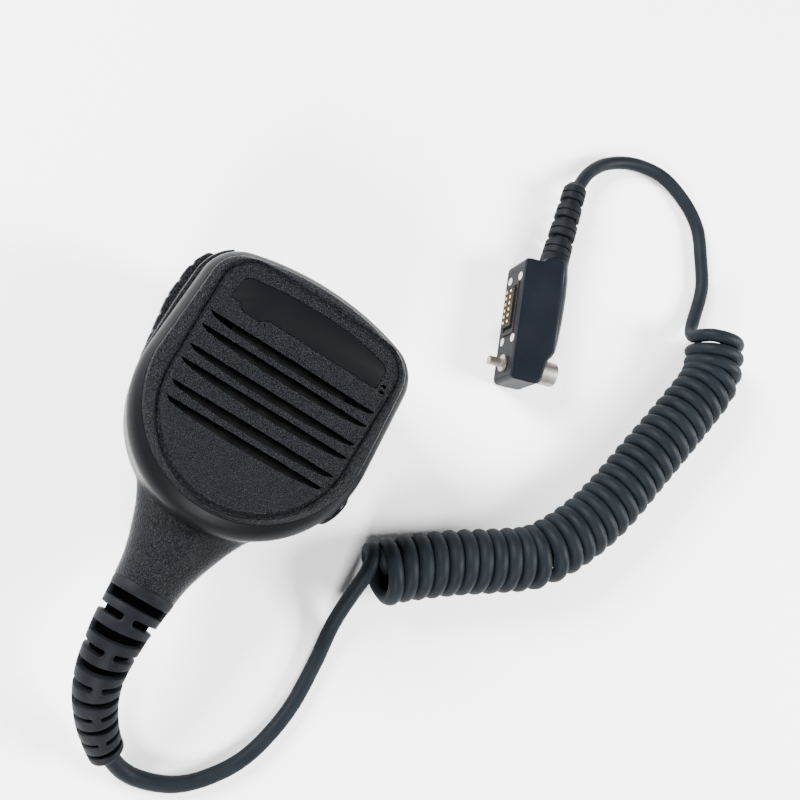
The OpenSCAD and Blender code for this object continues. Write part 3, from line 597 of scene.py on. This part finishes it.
COVER_ROWS = [
    lambda i: rim(i, 4.6, face_z - 2.2),
    lambda i: rim(i, 2.6, part_z + 1.0),
    lambda i: rim(i, 2.2, part_z + 0.2),
    lambda i: rim(i, 2.0, part_z),
    lambda i: rim(i, 0.35, part_z),
    lambda i: rim(i, 0.06, part_z + 0.25),
    lambda i: rim(i, 0.0, part_z + 0.6),
    lambda i: rim(i, 0.1, part_z + 1.4),
    lambda i: rim(i, 0.16 * rim_width(i), face_z - 5.2),
    lambda i: rim(i, 0.34 * rim_width(i), face_z - 4.1),
    lambda i: rim(i, 0.60 * rim_width(i), face_z - 3.1),
    lambda i: rim(i, rim_width(i), face_z - 2.0),
    lambda i: rim(i, rim_width(i) + 0.12, face_z - 2.0),
    lambda i: rim(i, rim_width(i) + 0.22, face_z - 1.5),
    lambda i: rim(i, rim_width(i) + 0.6, face_z - 0.95),
    lambda i: between(i, 0.45, face_z - 0.5),
    lambda i: between(i, 0.75, face_z - 0.22),
    lambda i: rim(i, -1.25, face_z - 0.2, PANEL),
    lambda i: rim(i, -0.95, face_z - 0.45, PANEL),
    lambda i: rim(i, -0.7, face_z - 0.9, PANEL),
    lambda i: rim(i, -0.3, face_z - 0.9, PANEL),
    lambda i: rim(i, -0.05, face_z - 0.5, PANEL),
    lambda i: rim(i, 0.2, face_z - 0.2, PANEL),
    lambda i: rim(i, 0.7, face_z - 0.02, PANEL),
    lambda i: rim(i, 1.2, face_z, PANEL),
]


def by_rows(rows):
    return lambda u, v: rows[round(v * (len(rows) - 1))](round(u * count)) * mm


cover = lidded(wrapped("front_cover_skin", count, len(COVER_ROWS) - 1, by_rows(COVER_ROWS)))
print("cover faces:", len(cover.data.polygons))

# %% [markdown]
# The grille slots are cut with one cutter copied six times. Its upper edge is straight
# and its lower edge rises to a point at both ends. The cutter is a flat circle whose
# points are moved on to that shape and then pulled through the cover.

# %% Slots, label bed and microphone ports
def cutter_from(name, shape, low, high):
    """A prism over a closed list of (x, y), in millimetres."""
    bpy.ops.mesh.primitive_circle_add(vertices=len(shape), radius=1, fill_type="NGON")
    piece = bpy.context.object
    piece.name = name
    for point, (x, y) in zip(piece.data.vertices, shape):
        point.co = (x * mm, y * mm, low * mm)
    bpy.ops.object.mode_set(mode="EDIT")
    bpy.ops.mesh.select_all(action="SELECT")
    bpy.ops.mesh.extrude_region_move(
        TRANSFORM_OT_translate={"value": (0, 0, (high - low) * mm)})
    bpy.ops.mesh.select_all(action="SELECT")
    bpy.ops.mesh.normals_make_consistent(inside=False)
    bpy.ops.object.mode_set(mode="OBJECT")
    return piece


def slot_shape(y, length, width=2.05):
    shape = []
    for k in range(41):
        t = k / 40
        shape.append((length * (t - 0.5) + 0.6,
                      y + width * (0.5 - math.sin(math.pi * t) ** 0.36)))
    for k in range(1, 8):
        t = 1 - k / 8
        shape.append((length * (t - 0.5) + 0.6, y + width * 0.5 + 0.12 * math.sin(math.pi * t)))
    return shape


SLOTS = [(9.6, 49.6), (5.5, 49.6), (-0.4, 49.2), (-4.5, 49.0), (-10.4, 47.4), (-14.5, 45.2)]


def rounded_shape(corners, steps=8):
    """Closed outline through corners given as (x, y, radius)."""
    shape = []
    for i, (x, y, r) in enumerate(corners):
        here = Vector((x, y))
        back = (Vector(corners[i - 1][:2]) - here).normalized()
        on = (Vector(corners[(i + 1) % len(corners)][:2]) - here).normalized()
        half = back.angle(on) / 2
        reach = r / math.tan(half)
        a, b = here + back * reach, here + on * reach
        for k in range(steps + 1):
            t = k / steps
            p = (1 - t) ** 2 * a + 2 * t * (1 - t) * here.lerp(a.lerp(b, 0.5), 0.12) + t * t * b
            shape.append((p.x, p.y))
    return shape


def label_outline(grow):
    g = grow
    return rounded_shape([
        (-20.9 - g, 23.4 + g, 2.6), (-21.8 - g, 16.5 - g, 0.9), (-18.7 - g, 16.4 - g, 0.7),
        (-17.0 - g, 14.8 - g, 1.0), (-12.5 + g, 14.8 - g, 1.2), (-10.8 + g, 16.4 - g, 0.8),
        (22.2 + g, 16.5 - g, 0.9), (22.6 + g, 23.0 + g, 2.6), (13.0, 25.2 + g, 40),
        (1.5, 25.8 + g, 40), (-10.0, 25.1 + g, 40)])


for y, length in SLOTS:
    combined(cover, cutter_from("slot_cutter", slot_shape(y, length, 2.4), face_z - 5, face_z + 2))
combined(cover, cutter_from("label_bed", label_outline(0.14), face_z - 0.45, face_z + 2))
for x, y in ((24.1, 18.2), (24.2, 16.5)):
    port = [(x - 0.75, y - 0.45), (x + 0.55, y - 0.5), (x + 0.75, y + 0.4), (x - 0.55, y + 0.5)]
    combined(cover, cutter_from("port_cutter", port, face_z - 3.4, face_z + 2))
print("cover faces after cutting:", len(cover.data.polygons))

# %% [markdown]
# The cover's smooth rim and its grained parts are one moulding with two textures, so the
# piece has two finishes, and a third for painted shade on the slot walls and inside faces.
# The faces are sorted by place: the rim is what lies outside the grained shoulder.

# %% Finish the cover
finished(cover, "microphone", [shell_grain_and_painted_glints, rim_satin, painted_slot_shade],
         ["front_cover"], angle=30)


def nearest_rim(x, y):
    """Index of the head outline point that this place lies nearest to."""
    return min(range(count), key=lambda i: (HEAD[i][0].x - x) ** 2 + (HEAD[i][0].y - y) ** 2)


# index 1 is the smooth rim; index 2 is painted shade on the slot walls and on the faces inside the
# cover
for face in cover.data.polygons:
    middle = face.center / mm
    i = nearest_rim(middle.x, middle.y)
    depth = (HEAD[i][0] - Vector((middle.x, middle.y, 0))).dot(HEAD[i][1])
    if depth < rim_width(i) + 0.1 and middle.z > part_z + 0.1:
        face.material_index = 1
    elif middle.z < face_z - 0.05 and abs(face.normal.z) < 0.3 and depth > 9:
        face.material_index = 2
    elif middle.z < part_z + 0.1 or (middle.z < face_z - 2.15 and depth > 2.1):
        face.material_index = 2
print("rim faces:", sum(f.material_index == 1 for f in cover.data.polygons))

# %% [markdown]
# ## The label plate
# A thin satin film fills the bed above the slots. It carries nothing here. Its lower left
# has a small tab, and its edge is slightly rounded by a bevel.

# %% Label plate
label = cutter_from("label_film", label_outline(0.0), face_z - 0.44, face_z - 0.02)
modified(label, "BEVEL", width=0.08 * mm, segments=2, limit_method="ANGLE")
finished(label, "microphone", [label_black], ["label_plate"])

# %% [markdown]
# ## The rear shell
# The rear shell is a shallow tub that runs out into the neck. The tub and the neck are
# made apart, joined, and then remeshed and relaxed, which gives the soft fillet where
# they meet. Only then are the flat rim, the hollow inside and the openings cut, so their
# edges stay crisp.

# %% Rear shell body
NECK = [(-20, 23.5, 9.0, 21.4, 0), (-26, 21.4, 9.15, 21.5, 0), (-30, 18.6, 9.25, 21.7, 0),
        (-34, 16.0, 9.3, 21.9, 0), (-38, 13.9, 9.4, 22.1, 0), (-42, 12.3, 9.3, 22.4, -0.1),
        (-46, 10.8, 9.1, 22.8, -0.2), (-50, 9.6, 8.9, 23.2, -0.3), (-54, 8.9, 8.75, 23.6, -0.4),
        (-57, 8.65, 8.65, 23.85, -0.4), (-60, 8.6, 8.6, 24.0, -0.4)]
SHELL_ROWS = [
    lambda i: rim(i, 5.5, back_z),
    lambda i: rim(i, 3.6, back_z + 0.4),
    lambda i: rim(i, 2.2, back_z + 1.5),
    lambda i: rim(i, 1.1, back_z + 3.2),
    lambda i: rim(i, 0.35, back_z + 5.6),
    lambda i: rim(i, 0.0, back_z + 8),
    lambda i: rim(i, 0.0, part_z - 6),
    lambda i: rim(i, 0.0, part_z + 1.2),
]


def neck_point(u, v, inset=0.0, start=0, end=None):
    rows = NECK[start:end]
    y, half, tall, middle, aside = rows[round(v * (len(rows) - 1))]
    a = 2 * math.pi * u
    return Vector((aside + (half - inset) * math.cos(a), y,
                   middle - (tall - inset) * math.sin(a))) * mm


shell = lidded(wrapped("rear_shell_skin", count, len(SHELL_ROWS) - 1, by_rows(SHELL_ROWS)))
neck = lidded(wrapped("neck", 72, len(NECK) - 1, neck_point))
combined(shell, neck, "UNION")
modified(shell, "REMESH", mode="VOXEL", voxel_size=0.7 * mm)
modified(shell, "SMOOTH", factor=0.5, iterations=10)
print("rear shell faces:", len(shell.data.polygons))

# %% [markdown]
# The talk button lies along the left side, and so does the raised surround that it sits
# in. Both follow the head's outline at a distance that grows from almost nothing at the
# lower end, so both come from one strip maker.

# %% Strips along the left side
LEFT = spaced([p for p, way in HEAD if p.x < 0 and -7.5 < p.y < 32][::-1], 160)


def left_place(y_share, low_y, high_y):
    """Point of the left side and its outward direction, between two heights up the head."""
    rows = [k for k, p in enumerate(LEFT) if low_y <= p.y <= high_y]
    at = rows[0] + (rows[-1] - rows[0]) * y_share
    k = min(int(at), len(LEFT) - 2)
    ahead = (LEFT[k + 1] - LEFT[max(k - 1, 0)]).normalized()
    return LEFT[k].lerp(LEFT[k + 1], at - k), Vector((-ahead.y, ahead.x, 0))


def left_strip(name, low_y, high_y, low_z, high_z, inner, proud, cells=120):
    """A rounded bar along the left side; proud(share) is how far it stands out."""
    def place(u, v):
        spot, out = left_place(u, low_y, high_y)
        g = proud(u)
        section = [(inner, low_z), (g - 1.5, low_z), (g - 0.45, low_z + 0.3),
                   (g - 0.08, low_z + 0.9), (g, low_z + 1.7), (g, high_z - 1.5),
                   (g - 0.08, high_z - 0.7), (g - 0.4, high_z - 0.2), (g - 1.1, high_z),
                   (inner, high_z), (inner, low_z)]
        offset, z = section[round(v * (len(section) - 1))]
        return (spot + out * offset + Vector((0, 0, z))) * mm
    return lidded(wrapped(name, cells, 10, place))


def surround(u):
    return 0.45 + 0.95 * min(1.0, u / 0.5)


surround_bar = left_strip("surround", -6, 29.8, 14.3, part_z - 0.35, -1.5, surround, 60)
combined(shell, surround_bar, "UNION")

# %% [markdown]
# The parting plane is cut with a prism a little wider than the head. The hollow is the
# same outline moved in by the wall's thickness, and the neck's bore follows its outside.

# %% Rear shell cuts
top = cutter_from("above", [tuple((rim(i, -0.9, 0)).xy) for i in range(0, count, 2)],
                  part_z - 0.35, part_z + 8)
combined(shell, top)
HOLLOW = [
    lambda i: rim(i, 6.6, back_z + 2.2),
    lambda i: rim(i, 3.6, back_z + 4.2),
    lambda i: rim(i, 2.2, back_z + 9),
    lambda i: rim(i, 2.2, part_z + 1),
]
combined(shell, lidded(wrapped("hollow", count, len(HOLLOW) - 1, by_rows(HOLLOW))))
combined(shell, block("collar_face", (-20, -70, 5), (20, -55.4, 40)))
bore = lidded(wrapped("bore", 48, 7, lambda u, v: neck_point(u, v, 2.2, 0, 8)))
combined(shell, bore)
combined(shell, rod("relief_socket", 6.0, (-0.4, -61, neck_z), (-0.4, -50.8, neck_z)))
combined(shell, rod("cord_bore", 2.7, (-0.2, -61, neck_z), (-0.1, -45, neck_z)))
ptt_low, ptt_high = 17.3, 28.7
combined(shell, rod("swivel_bore", 2.6, (0, 0, back_z - 1), (0, 0, back_z + 4)))
jack_turn = math.radians(-15)


def on_jack(x, y=0.0, z=0.0):
    """A place in the earphone jack's own frame: x out of the side, z towards the front."""
    return Vector((x * math.cos(jack_turn) - y * math.sin(jack_turn),
                   -4.5 + x * math.sin(jack_turn) + y * math.cos(jack_turn), 24.2 + z))


combined(shell, rod("jack_bore", 3.1, on_jack(24), on_jack(36)))
BOSSES = [(20.7, 24.7), (-20.7, 24.7), (16.25, -25.95), (-16.25, -25.95)]
for x, y in BOSSES:
    combined(shell, rod("pillar", 3.2, (x, y, back_z + 2), (x, y, part_z - 0.5)), "UNION")
    combined(shell, rod("screw_well", 2.3, (x, y, back_z - 1), (x, y, back_z + 2.4)))
    combined(shell, rod("screw_way", 1.3, (x, y, back_z - 1), (x, y, part_z + 1)))
combined(shell, block("button_window", (-40, -4.1, ptt_low - 0.5), (-22.6, 28.9, ptt_high + 0.5)))
finished(shell, "microphone", [shell_grain_and_painted_glints], ["rear_shell"], angle=40)

# %% [markdown]
# ## The talk button
# A long grained bar pressed with the fingers of the holding hand. Its outer face has
# lands about five millimetres long with shallow notches between them for grip. It is the
# strip again, with the notches in its proud distance.

# %% Talk button
def button_proud(u):
    g = 0.9 + 3.2 * min(1.0, u / 0.5) ** 0.9
    for land in range(1, 6):
        away = abs(u * 31 - 5.2 * land)
        g -= 0.4 * max(0.0, 1 - (away / 0.8) ** 2)
    end = min(u, 1 - u) * 31
    return g - 0.9 * max(0.0, 1 - end / 1.2) ** 2


button = left_strip("talk_button_skin", -3.4, 27.4, ptt_low, ptt_high, -2.2, button_proud, 150)
foot = block("foot", (-31.5, -1.9, ptt_low + 0.3), (-26.7, 0.9, ptt_high - 0.3))
combined(button, foot, "UNION")
combined(button, rod("hub", 2.1, (-26.7, -0.5, ptt_low), (-26.7, -0.5, ptt_high)), "UNION")
combined(button, block("pusher", (-31.5, 11, 21), (-26.6, 14, 25)), "UNION")
combined(button, rod("hub_bore", 1.05, (-26.7, -0.5, 10), (-26.7, -0.5, 35)))
finished(button, "talk_button", [shell_grain_and_painted_glints], ["talk_button"], angle=40)

# %% [markdown]
# ## The strain relief
# A tapered rubber sleeve lets the lead bend without breaking. Long windows go almost
# right round it, in turn from the front and from the side, so it flexes like a chain. It
# starts as a flat grid: the windows are deleted from the grid, the grid is rolled up
# along the lead's own path, and Solidify and Subdivision give it thickness and soft edges.

# %% Strain relief
relief_line = spaced(through(LEAD[:7], 16)[12:81], 200)
relief_length = run_length(relief_line)


def about_line(line, length, far, radius, angle):
    """A point at a distance along a line, out from it by radius; angle 0 faces up."""
    at = min(max(far / length, 0), 1) * (len(line) - 1)
    i = min(int(at), len(line) - 2)
    ahead = (line[i + 1] - line[max(i - 1, 0)]).normalized()
    side = ahead.cross(Vector((0, 0, 1))).normalized()
    up = side.cross(ahead)
    over = ahead * (far - at / (len(line) - 1) * length)
    return line[i].lerp(line[i + 1], at - i) + over + radius * (up * math.cos(angle)
                                                              + side * math.sin(angle))


pitch = (relief_length - 7.4) / 5


def gaps(first, number, half, less):
    """Windows a pitch apart, each as (start, end); every next one is a little narrower."""
    return [(first + pitch * k - (half - less * k), first + pitch * k + (half - less * k))
            for k in range(number)]


front_gaps = gaps(4.2, 6, 1.15, 0.1)
side_gaps = gaps(4.3 + pitch / 2, 5, 0.75, 0.05)


def sleeve_radius(far):
    share = min(max(far / relief_length, 0), 1)
    return 8.65 - 5.2 * share + 1.15 * share ** 2


ROWS = [(0.3, 6.0), (0.05, 8.3), (0.1, 8.6), (0.5, 8.65), (2.2, 8.6)]
for gap in sorted(front_gaps + side_gaps):
    ROWS += [(far, sleeve_radius(far)) for far in
             (gap[0] - 0.35, gap[0], gap[1], gap[1] + 0.35)]
end = relief_length
ROWS += [(end - 1.3, 4.75), (end - 0.4, 4.7), (end - 0.05, 4.4), (end, 3.4), (end - 0.6, 2.5)]
cells = 64


def in_window(u, v):
    row = int(v * (len(ROWS) - 1))
    a, b = ROWS[row][0], ROWS[row + 1][0]
    degrees = (u * 360) % 360
    for gap in front_gaps:
        if abs(a - gap[0]) < 0.01 and abs(b - gap[1]) < 0.01:
            return min(abs(degrees - 0), abs(degrees - 360)) < 79 or abs(degrees - 180) < 79
    for gap in side_gaps:
        if abs(a - gap[0]) < 0.01 and abs(b - gap[1]) < 0.01:
            return abs(degrees - 90) < 79 or abs(degrees - 270) < 79
    return False


relief = wrapped("strain_relief_sleeve", cells, len(ROWS) - 1,
                 lambda u, v: about_line(relief_line, relief_length,
                                         *ROWS[round(v * (len(ROWS) - 1))],
                                         2 * math.pi * u) * mm,
                 drop=in_window)
modified(relief, "SOLIDIFY", thickness=2.1 * mm, offset=-1, use_even_offset=False)
modified(relief, "SUBSURF", levels=1, render_levels=1)
spigot = rod("spigot", 5.9, (-0.4, -55.9, neck_z), (-0.4, -51.0, neck_z))
combined(spigot, rod("spigot_bore", 2.5, (-0.2, -60, neck_z), (-0.2, -48, neck_z)))
alone(relief, spigot)
bpy.ops.object.join()
finished(relief, "microphone", [boot_rubber], ["strain_relief"], angle=50)
# painted shade: the core seen through the windows is near black, standing for the shade inside the
# sleeve
core = lidded(wrapped("relief_core", 40, 30, lambda u, v: about_line(
    relief_line, relief_length, 0.6 + v * (relief_length - 1.6),
    max(sleeve_radius(v * relief_length) - 1.75, 2.5), 2 * math.pi * u) * mm))
finished(core, "microphone", [painted_slot_shade], angle=50)
print("strain relief:", round(relief_length, 1), "mm long")

# %% [markdown]
# ## The earphone cap
# A glossy rubber cap closes the earphone socket on the right side. It is turned about the
# socket's axis from a short profile and then bent to lie along the round side.

# %% Earphone cap
CAP_ROWS = [(0.0, 33.1), (5.2, 33.1), (5.6, 33.4), (5.6, 34.2), (5.3, 34.75), (4.7, 35.0),
            (3.9, 35.1), (3.5, 34.85), (0.0, 34.85)]


def cap_place(u, v):
    r, x = CAP_ROWS[round(v * (len(CAP_ROWS) - 1))]
    y, z = r * math.cos(2 * math.pi * u), r * math.sin(2 * math.pi * u)
    return on_jack(x - y * y / 65, y, z) * mm


cap = wrapped("earphone_cap", 48, len(CAP_ROWS) - 1, cap_place)
tongue = lidded(wrapped("tongue", 4, 3, lambda u, v: on_jack(
    (33.4, 34.8, 34.8, 33.4, 33.4)[round(u * 4)], (-1.55, -1.55, 1.55, 1.55, -1.55)[round(u * 4)],
    -7.5 + 2.7 * v) * mm))
combined(cap, tongue, "UNION")
knuckle = rod("knuckle", 1.1, on_jack(34.1, -1.55, -7.5), on_jack(34.1, 1.55, -7.5), 24)
combined(cap, knuckle, "UNION")
combined(cap, rod("knuckle_bore", 0.66, on_jack(34.1, -3, -7.5), on_jack(34.1, 3, -7.5), 24))
finished(cap, "cap", [cap_gloss], ["jack_cap"], angle=40)

# %% [markdown]
# ## The plug
# The plug is a flat moulding that fixes to the side of a radio. A round ridge carries the
# lead down its outer edge, and a notch at the foot leaves room for the fixing screw's
# head. The slab and the ridge are joined, remeshed and relaxed into one soft moulding
# before the straight cuts are made.

# %% Plug housing
plug_turn = math.radians(20)


def on_plug(x, y, z):
    """A place in the plug's own frame: y towards the lead, minus x the face to the radio."""
    return Vector((57.5 + x * math.cos(plug_turn) - y * math.sin(plug_turn),
                   97.5 + x * math.sin(plug_turn) + y * math.cos(plug_turn), z))


def to_plug(piece):
    """Carries a piece made at the origin to the plug's place."""
    piece.matrix_world = (Matrix.Translation(on_plug(0, 0, 0) * mm)
                          @ Matrix.Rotation(plug_turn, 4, "Z"))
    alone(piece)
    bpy.ops.object.transform_apply(location=True, rotation=True, scale=True)
    return piece


slab = cutter_from("plug_housing_skin", rounded_shape([
    (-9.1, -43.9, 1.6), (1.4, -43.9, 2.2), (2.9, -36.2, 2.0), (5.0, -32.9, 1.5),
    (5.0, -1.0, 1.0), (-1.6, -1.0, 1.8), (-2.2, -3.0, 1.2), (-9.1, -3.2, 1.4)]), 0.1, 13.9)
modified(slab, "BEVEL", width=1.3 * mm, segments=4, limit_method="ANGLE",
         angle_limit=math.radians(50))
RIDGE = [(0.6, 4.9, 4.9, 3.9), (-2, 5.0, 5.4, 3.9), (-6, 5.2, 6.3, 3.9), (-12, 5.3, 6.8, 3.8),
         (-20, 5.2, 6.8, 3.6), (-27, 4.9, 6.7, 3.3), (-31, 4.6, 6.4, 3.1), (-33.2, 3.6, 5.6, 3.0)]


def ridge_place(u, v):
    y, half, tall, middle = RIDGE[round(v * (len(RIDGE) - 1))]
    a = 2 * math.pi * u
    return Vector((middle + half * math.cos(a), y, 7 + tall * math.sin(a))) * mm


combined(slab, lidded(wrapped("ridge", 48, len(RIDGE) - 1, ridge_place)), "UNION")
modified(slab, "REMESH", mode="VOXEL", voxel_size=0.35 * mm)
modified(slab, "SMOOTH", factor=0.5, iterations=8)
combined(slab, block("face_bed", (-12, -42.6, 1.4), (-7.3, -6.2, 12.6)))
combined(slab, block("inside", (-7.4, -34, 2.4), (1.6, -7.4, 11.6)))
combined(slab, rod("screw_way", 1.6, (-20, -38, 7), (20, -38, 7)))
combined(slab, rod("lead_way", 2.5, (4, -6.5, 7), (4, 1.5, 7)))
finished(to_plug(slab), "microphone", [plug_plastic], ["plug_housing"],
         angle=40)

# %% [markdown]
# The plug's own strain relief is a row of rubber rings on a thin core, each ring with a
# fine slit round its middle. One profile turned about the leaning axis makes them all.

# %% Plug relief
tip = Vector((4 + 30 * math.sin(math.radians(9)), 30 * math.cos(math.radians(9)), 7))
lean = [on_plug(4, 0, 7).lerp(on_plug(*tip), k / 20) for k in range(21)]
RING_ROWS = [(-0.6, 2.4), (-0.6, 4.9), (1.6, 4.9), (1.9, 4.75)]
for ring in range(4):
    t, r = 2.2 + 7.05 * ring, 4.8 - 0.22 * ring
    RING_ROWS += [(t, r - 0.25), (t + 0.3, r), (t + 2.1, r), (t + 2.2, r - 0.1),
                  (t + 2.25, r - 0.55), (t + 2.65, r - 0.55), (t + 2.7, r - 0.15),
                  (t + 2.8, r - 0.05), (t + 4.9, r - 0.12), (t + 5.2, r - 0.4)]
    if ring < 3:
        RING_ROWS += [(t + 5.3, 3.1), (t + 6.9, 3.05)]
RING_ROWS += [(29.3, 3.3), (29.9, 2.9), (29.9, 2.35)]
plug_relief = wrapped("plug_relief_rings", 48, len(RING_ROWS) - 1, lambda u, v: about_line(
    lean, 30.0, *RING_ROWS[round(v * (len(RING_ROWS) - 1))], 2 * math.pi * u) * mm)
finished(plug_relief, "microphone", [boot_rubber], ["plug_relief"], angle=30)

# %% [markdown]
# ## The table
# A pale plain table under everything. Real table tops are a little uneven in tone, so a
# very slow noise shades it by a few hundredths.

# %% Floor
bpy.ops.mesh.primitive_plane_add(size=3, location=(0.05, 0.02, -0.0001))
floor = bpy.context.object
floor.name = "floor"
pale_floor = new_finish("pale_floor", (0.96, 0.96, 0.965), 0.7)
cloudy = pattern(pale_floor, "ShaderNodeTexNoise", 3.0, Detail=3.0)
tinted(pale_floor, cloudy.outputs["Fac"], (0.945, 0.945, 0.95), (0.965, 0.965, 0.97))
floor.data.materials.append(pale_floor)
print("floor laid at", round(floor.location.z * 1000, 2), "mm")

# %% [markdown]
# ## Finishes on the mechanical parts
# Parts without a nicer skin are shown as they are, so each one gets the finish its own
# slot asks for: brass inserts, steel screws, green board, gold contacts. The speaker's
# clamps stand right behind the slots and get the painted slot shade, near black with no
# reflection, so nothing glints through.

# %% Dress the mechanical parts
dressed = {}
for node_name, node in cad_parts.items():
    slots = node.data.materials
    asked = slots[0].name.split(".")[0] if slots else ""
    chosen = FINISH_OF_SLOT.get(asked, black_plastic)
    # painted shade on the speaker clamps seen through the slots
    if "clamp" in node_name and "cable" not in node_name:
        chosen = painted_slot_shade
    if node_name == "fixing_screw":
        chosen = dull_steel
    if not slots:
        slots.append(chosen)
    for i in range(len(slots)):
        slots[i] = chosen
    dressed[node_name] = chosen.name
print("mechanical parts dressed:", len(dressed), "finishes used:", len(set(dressed.values())))
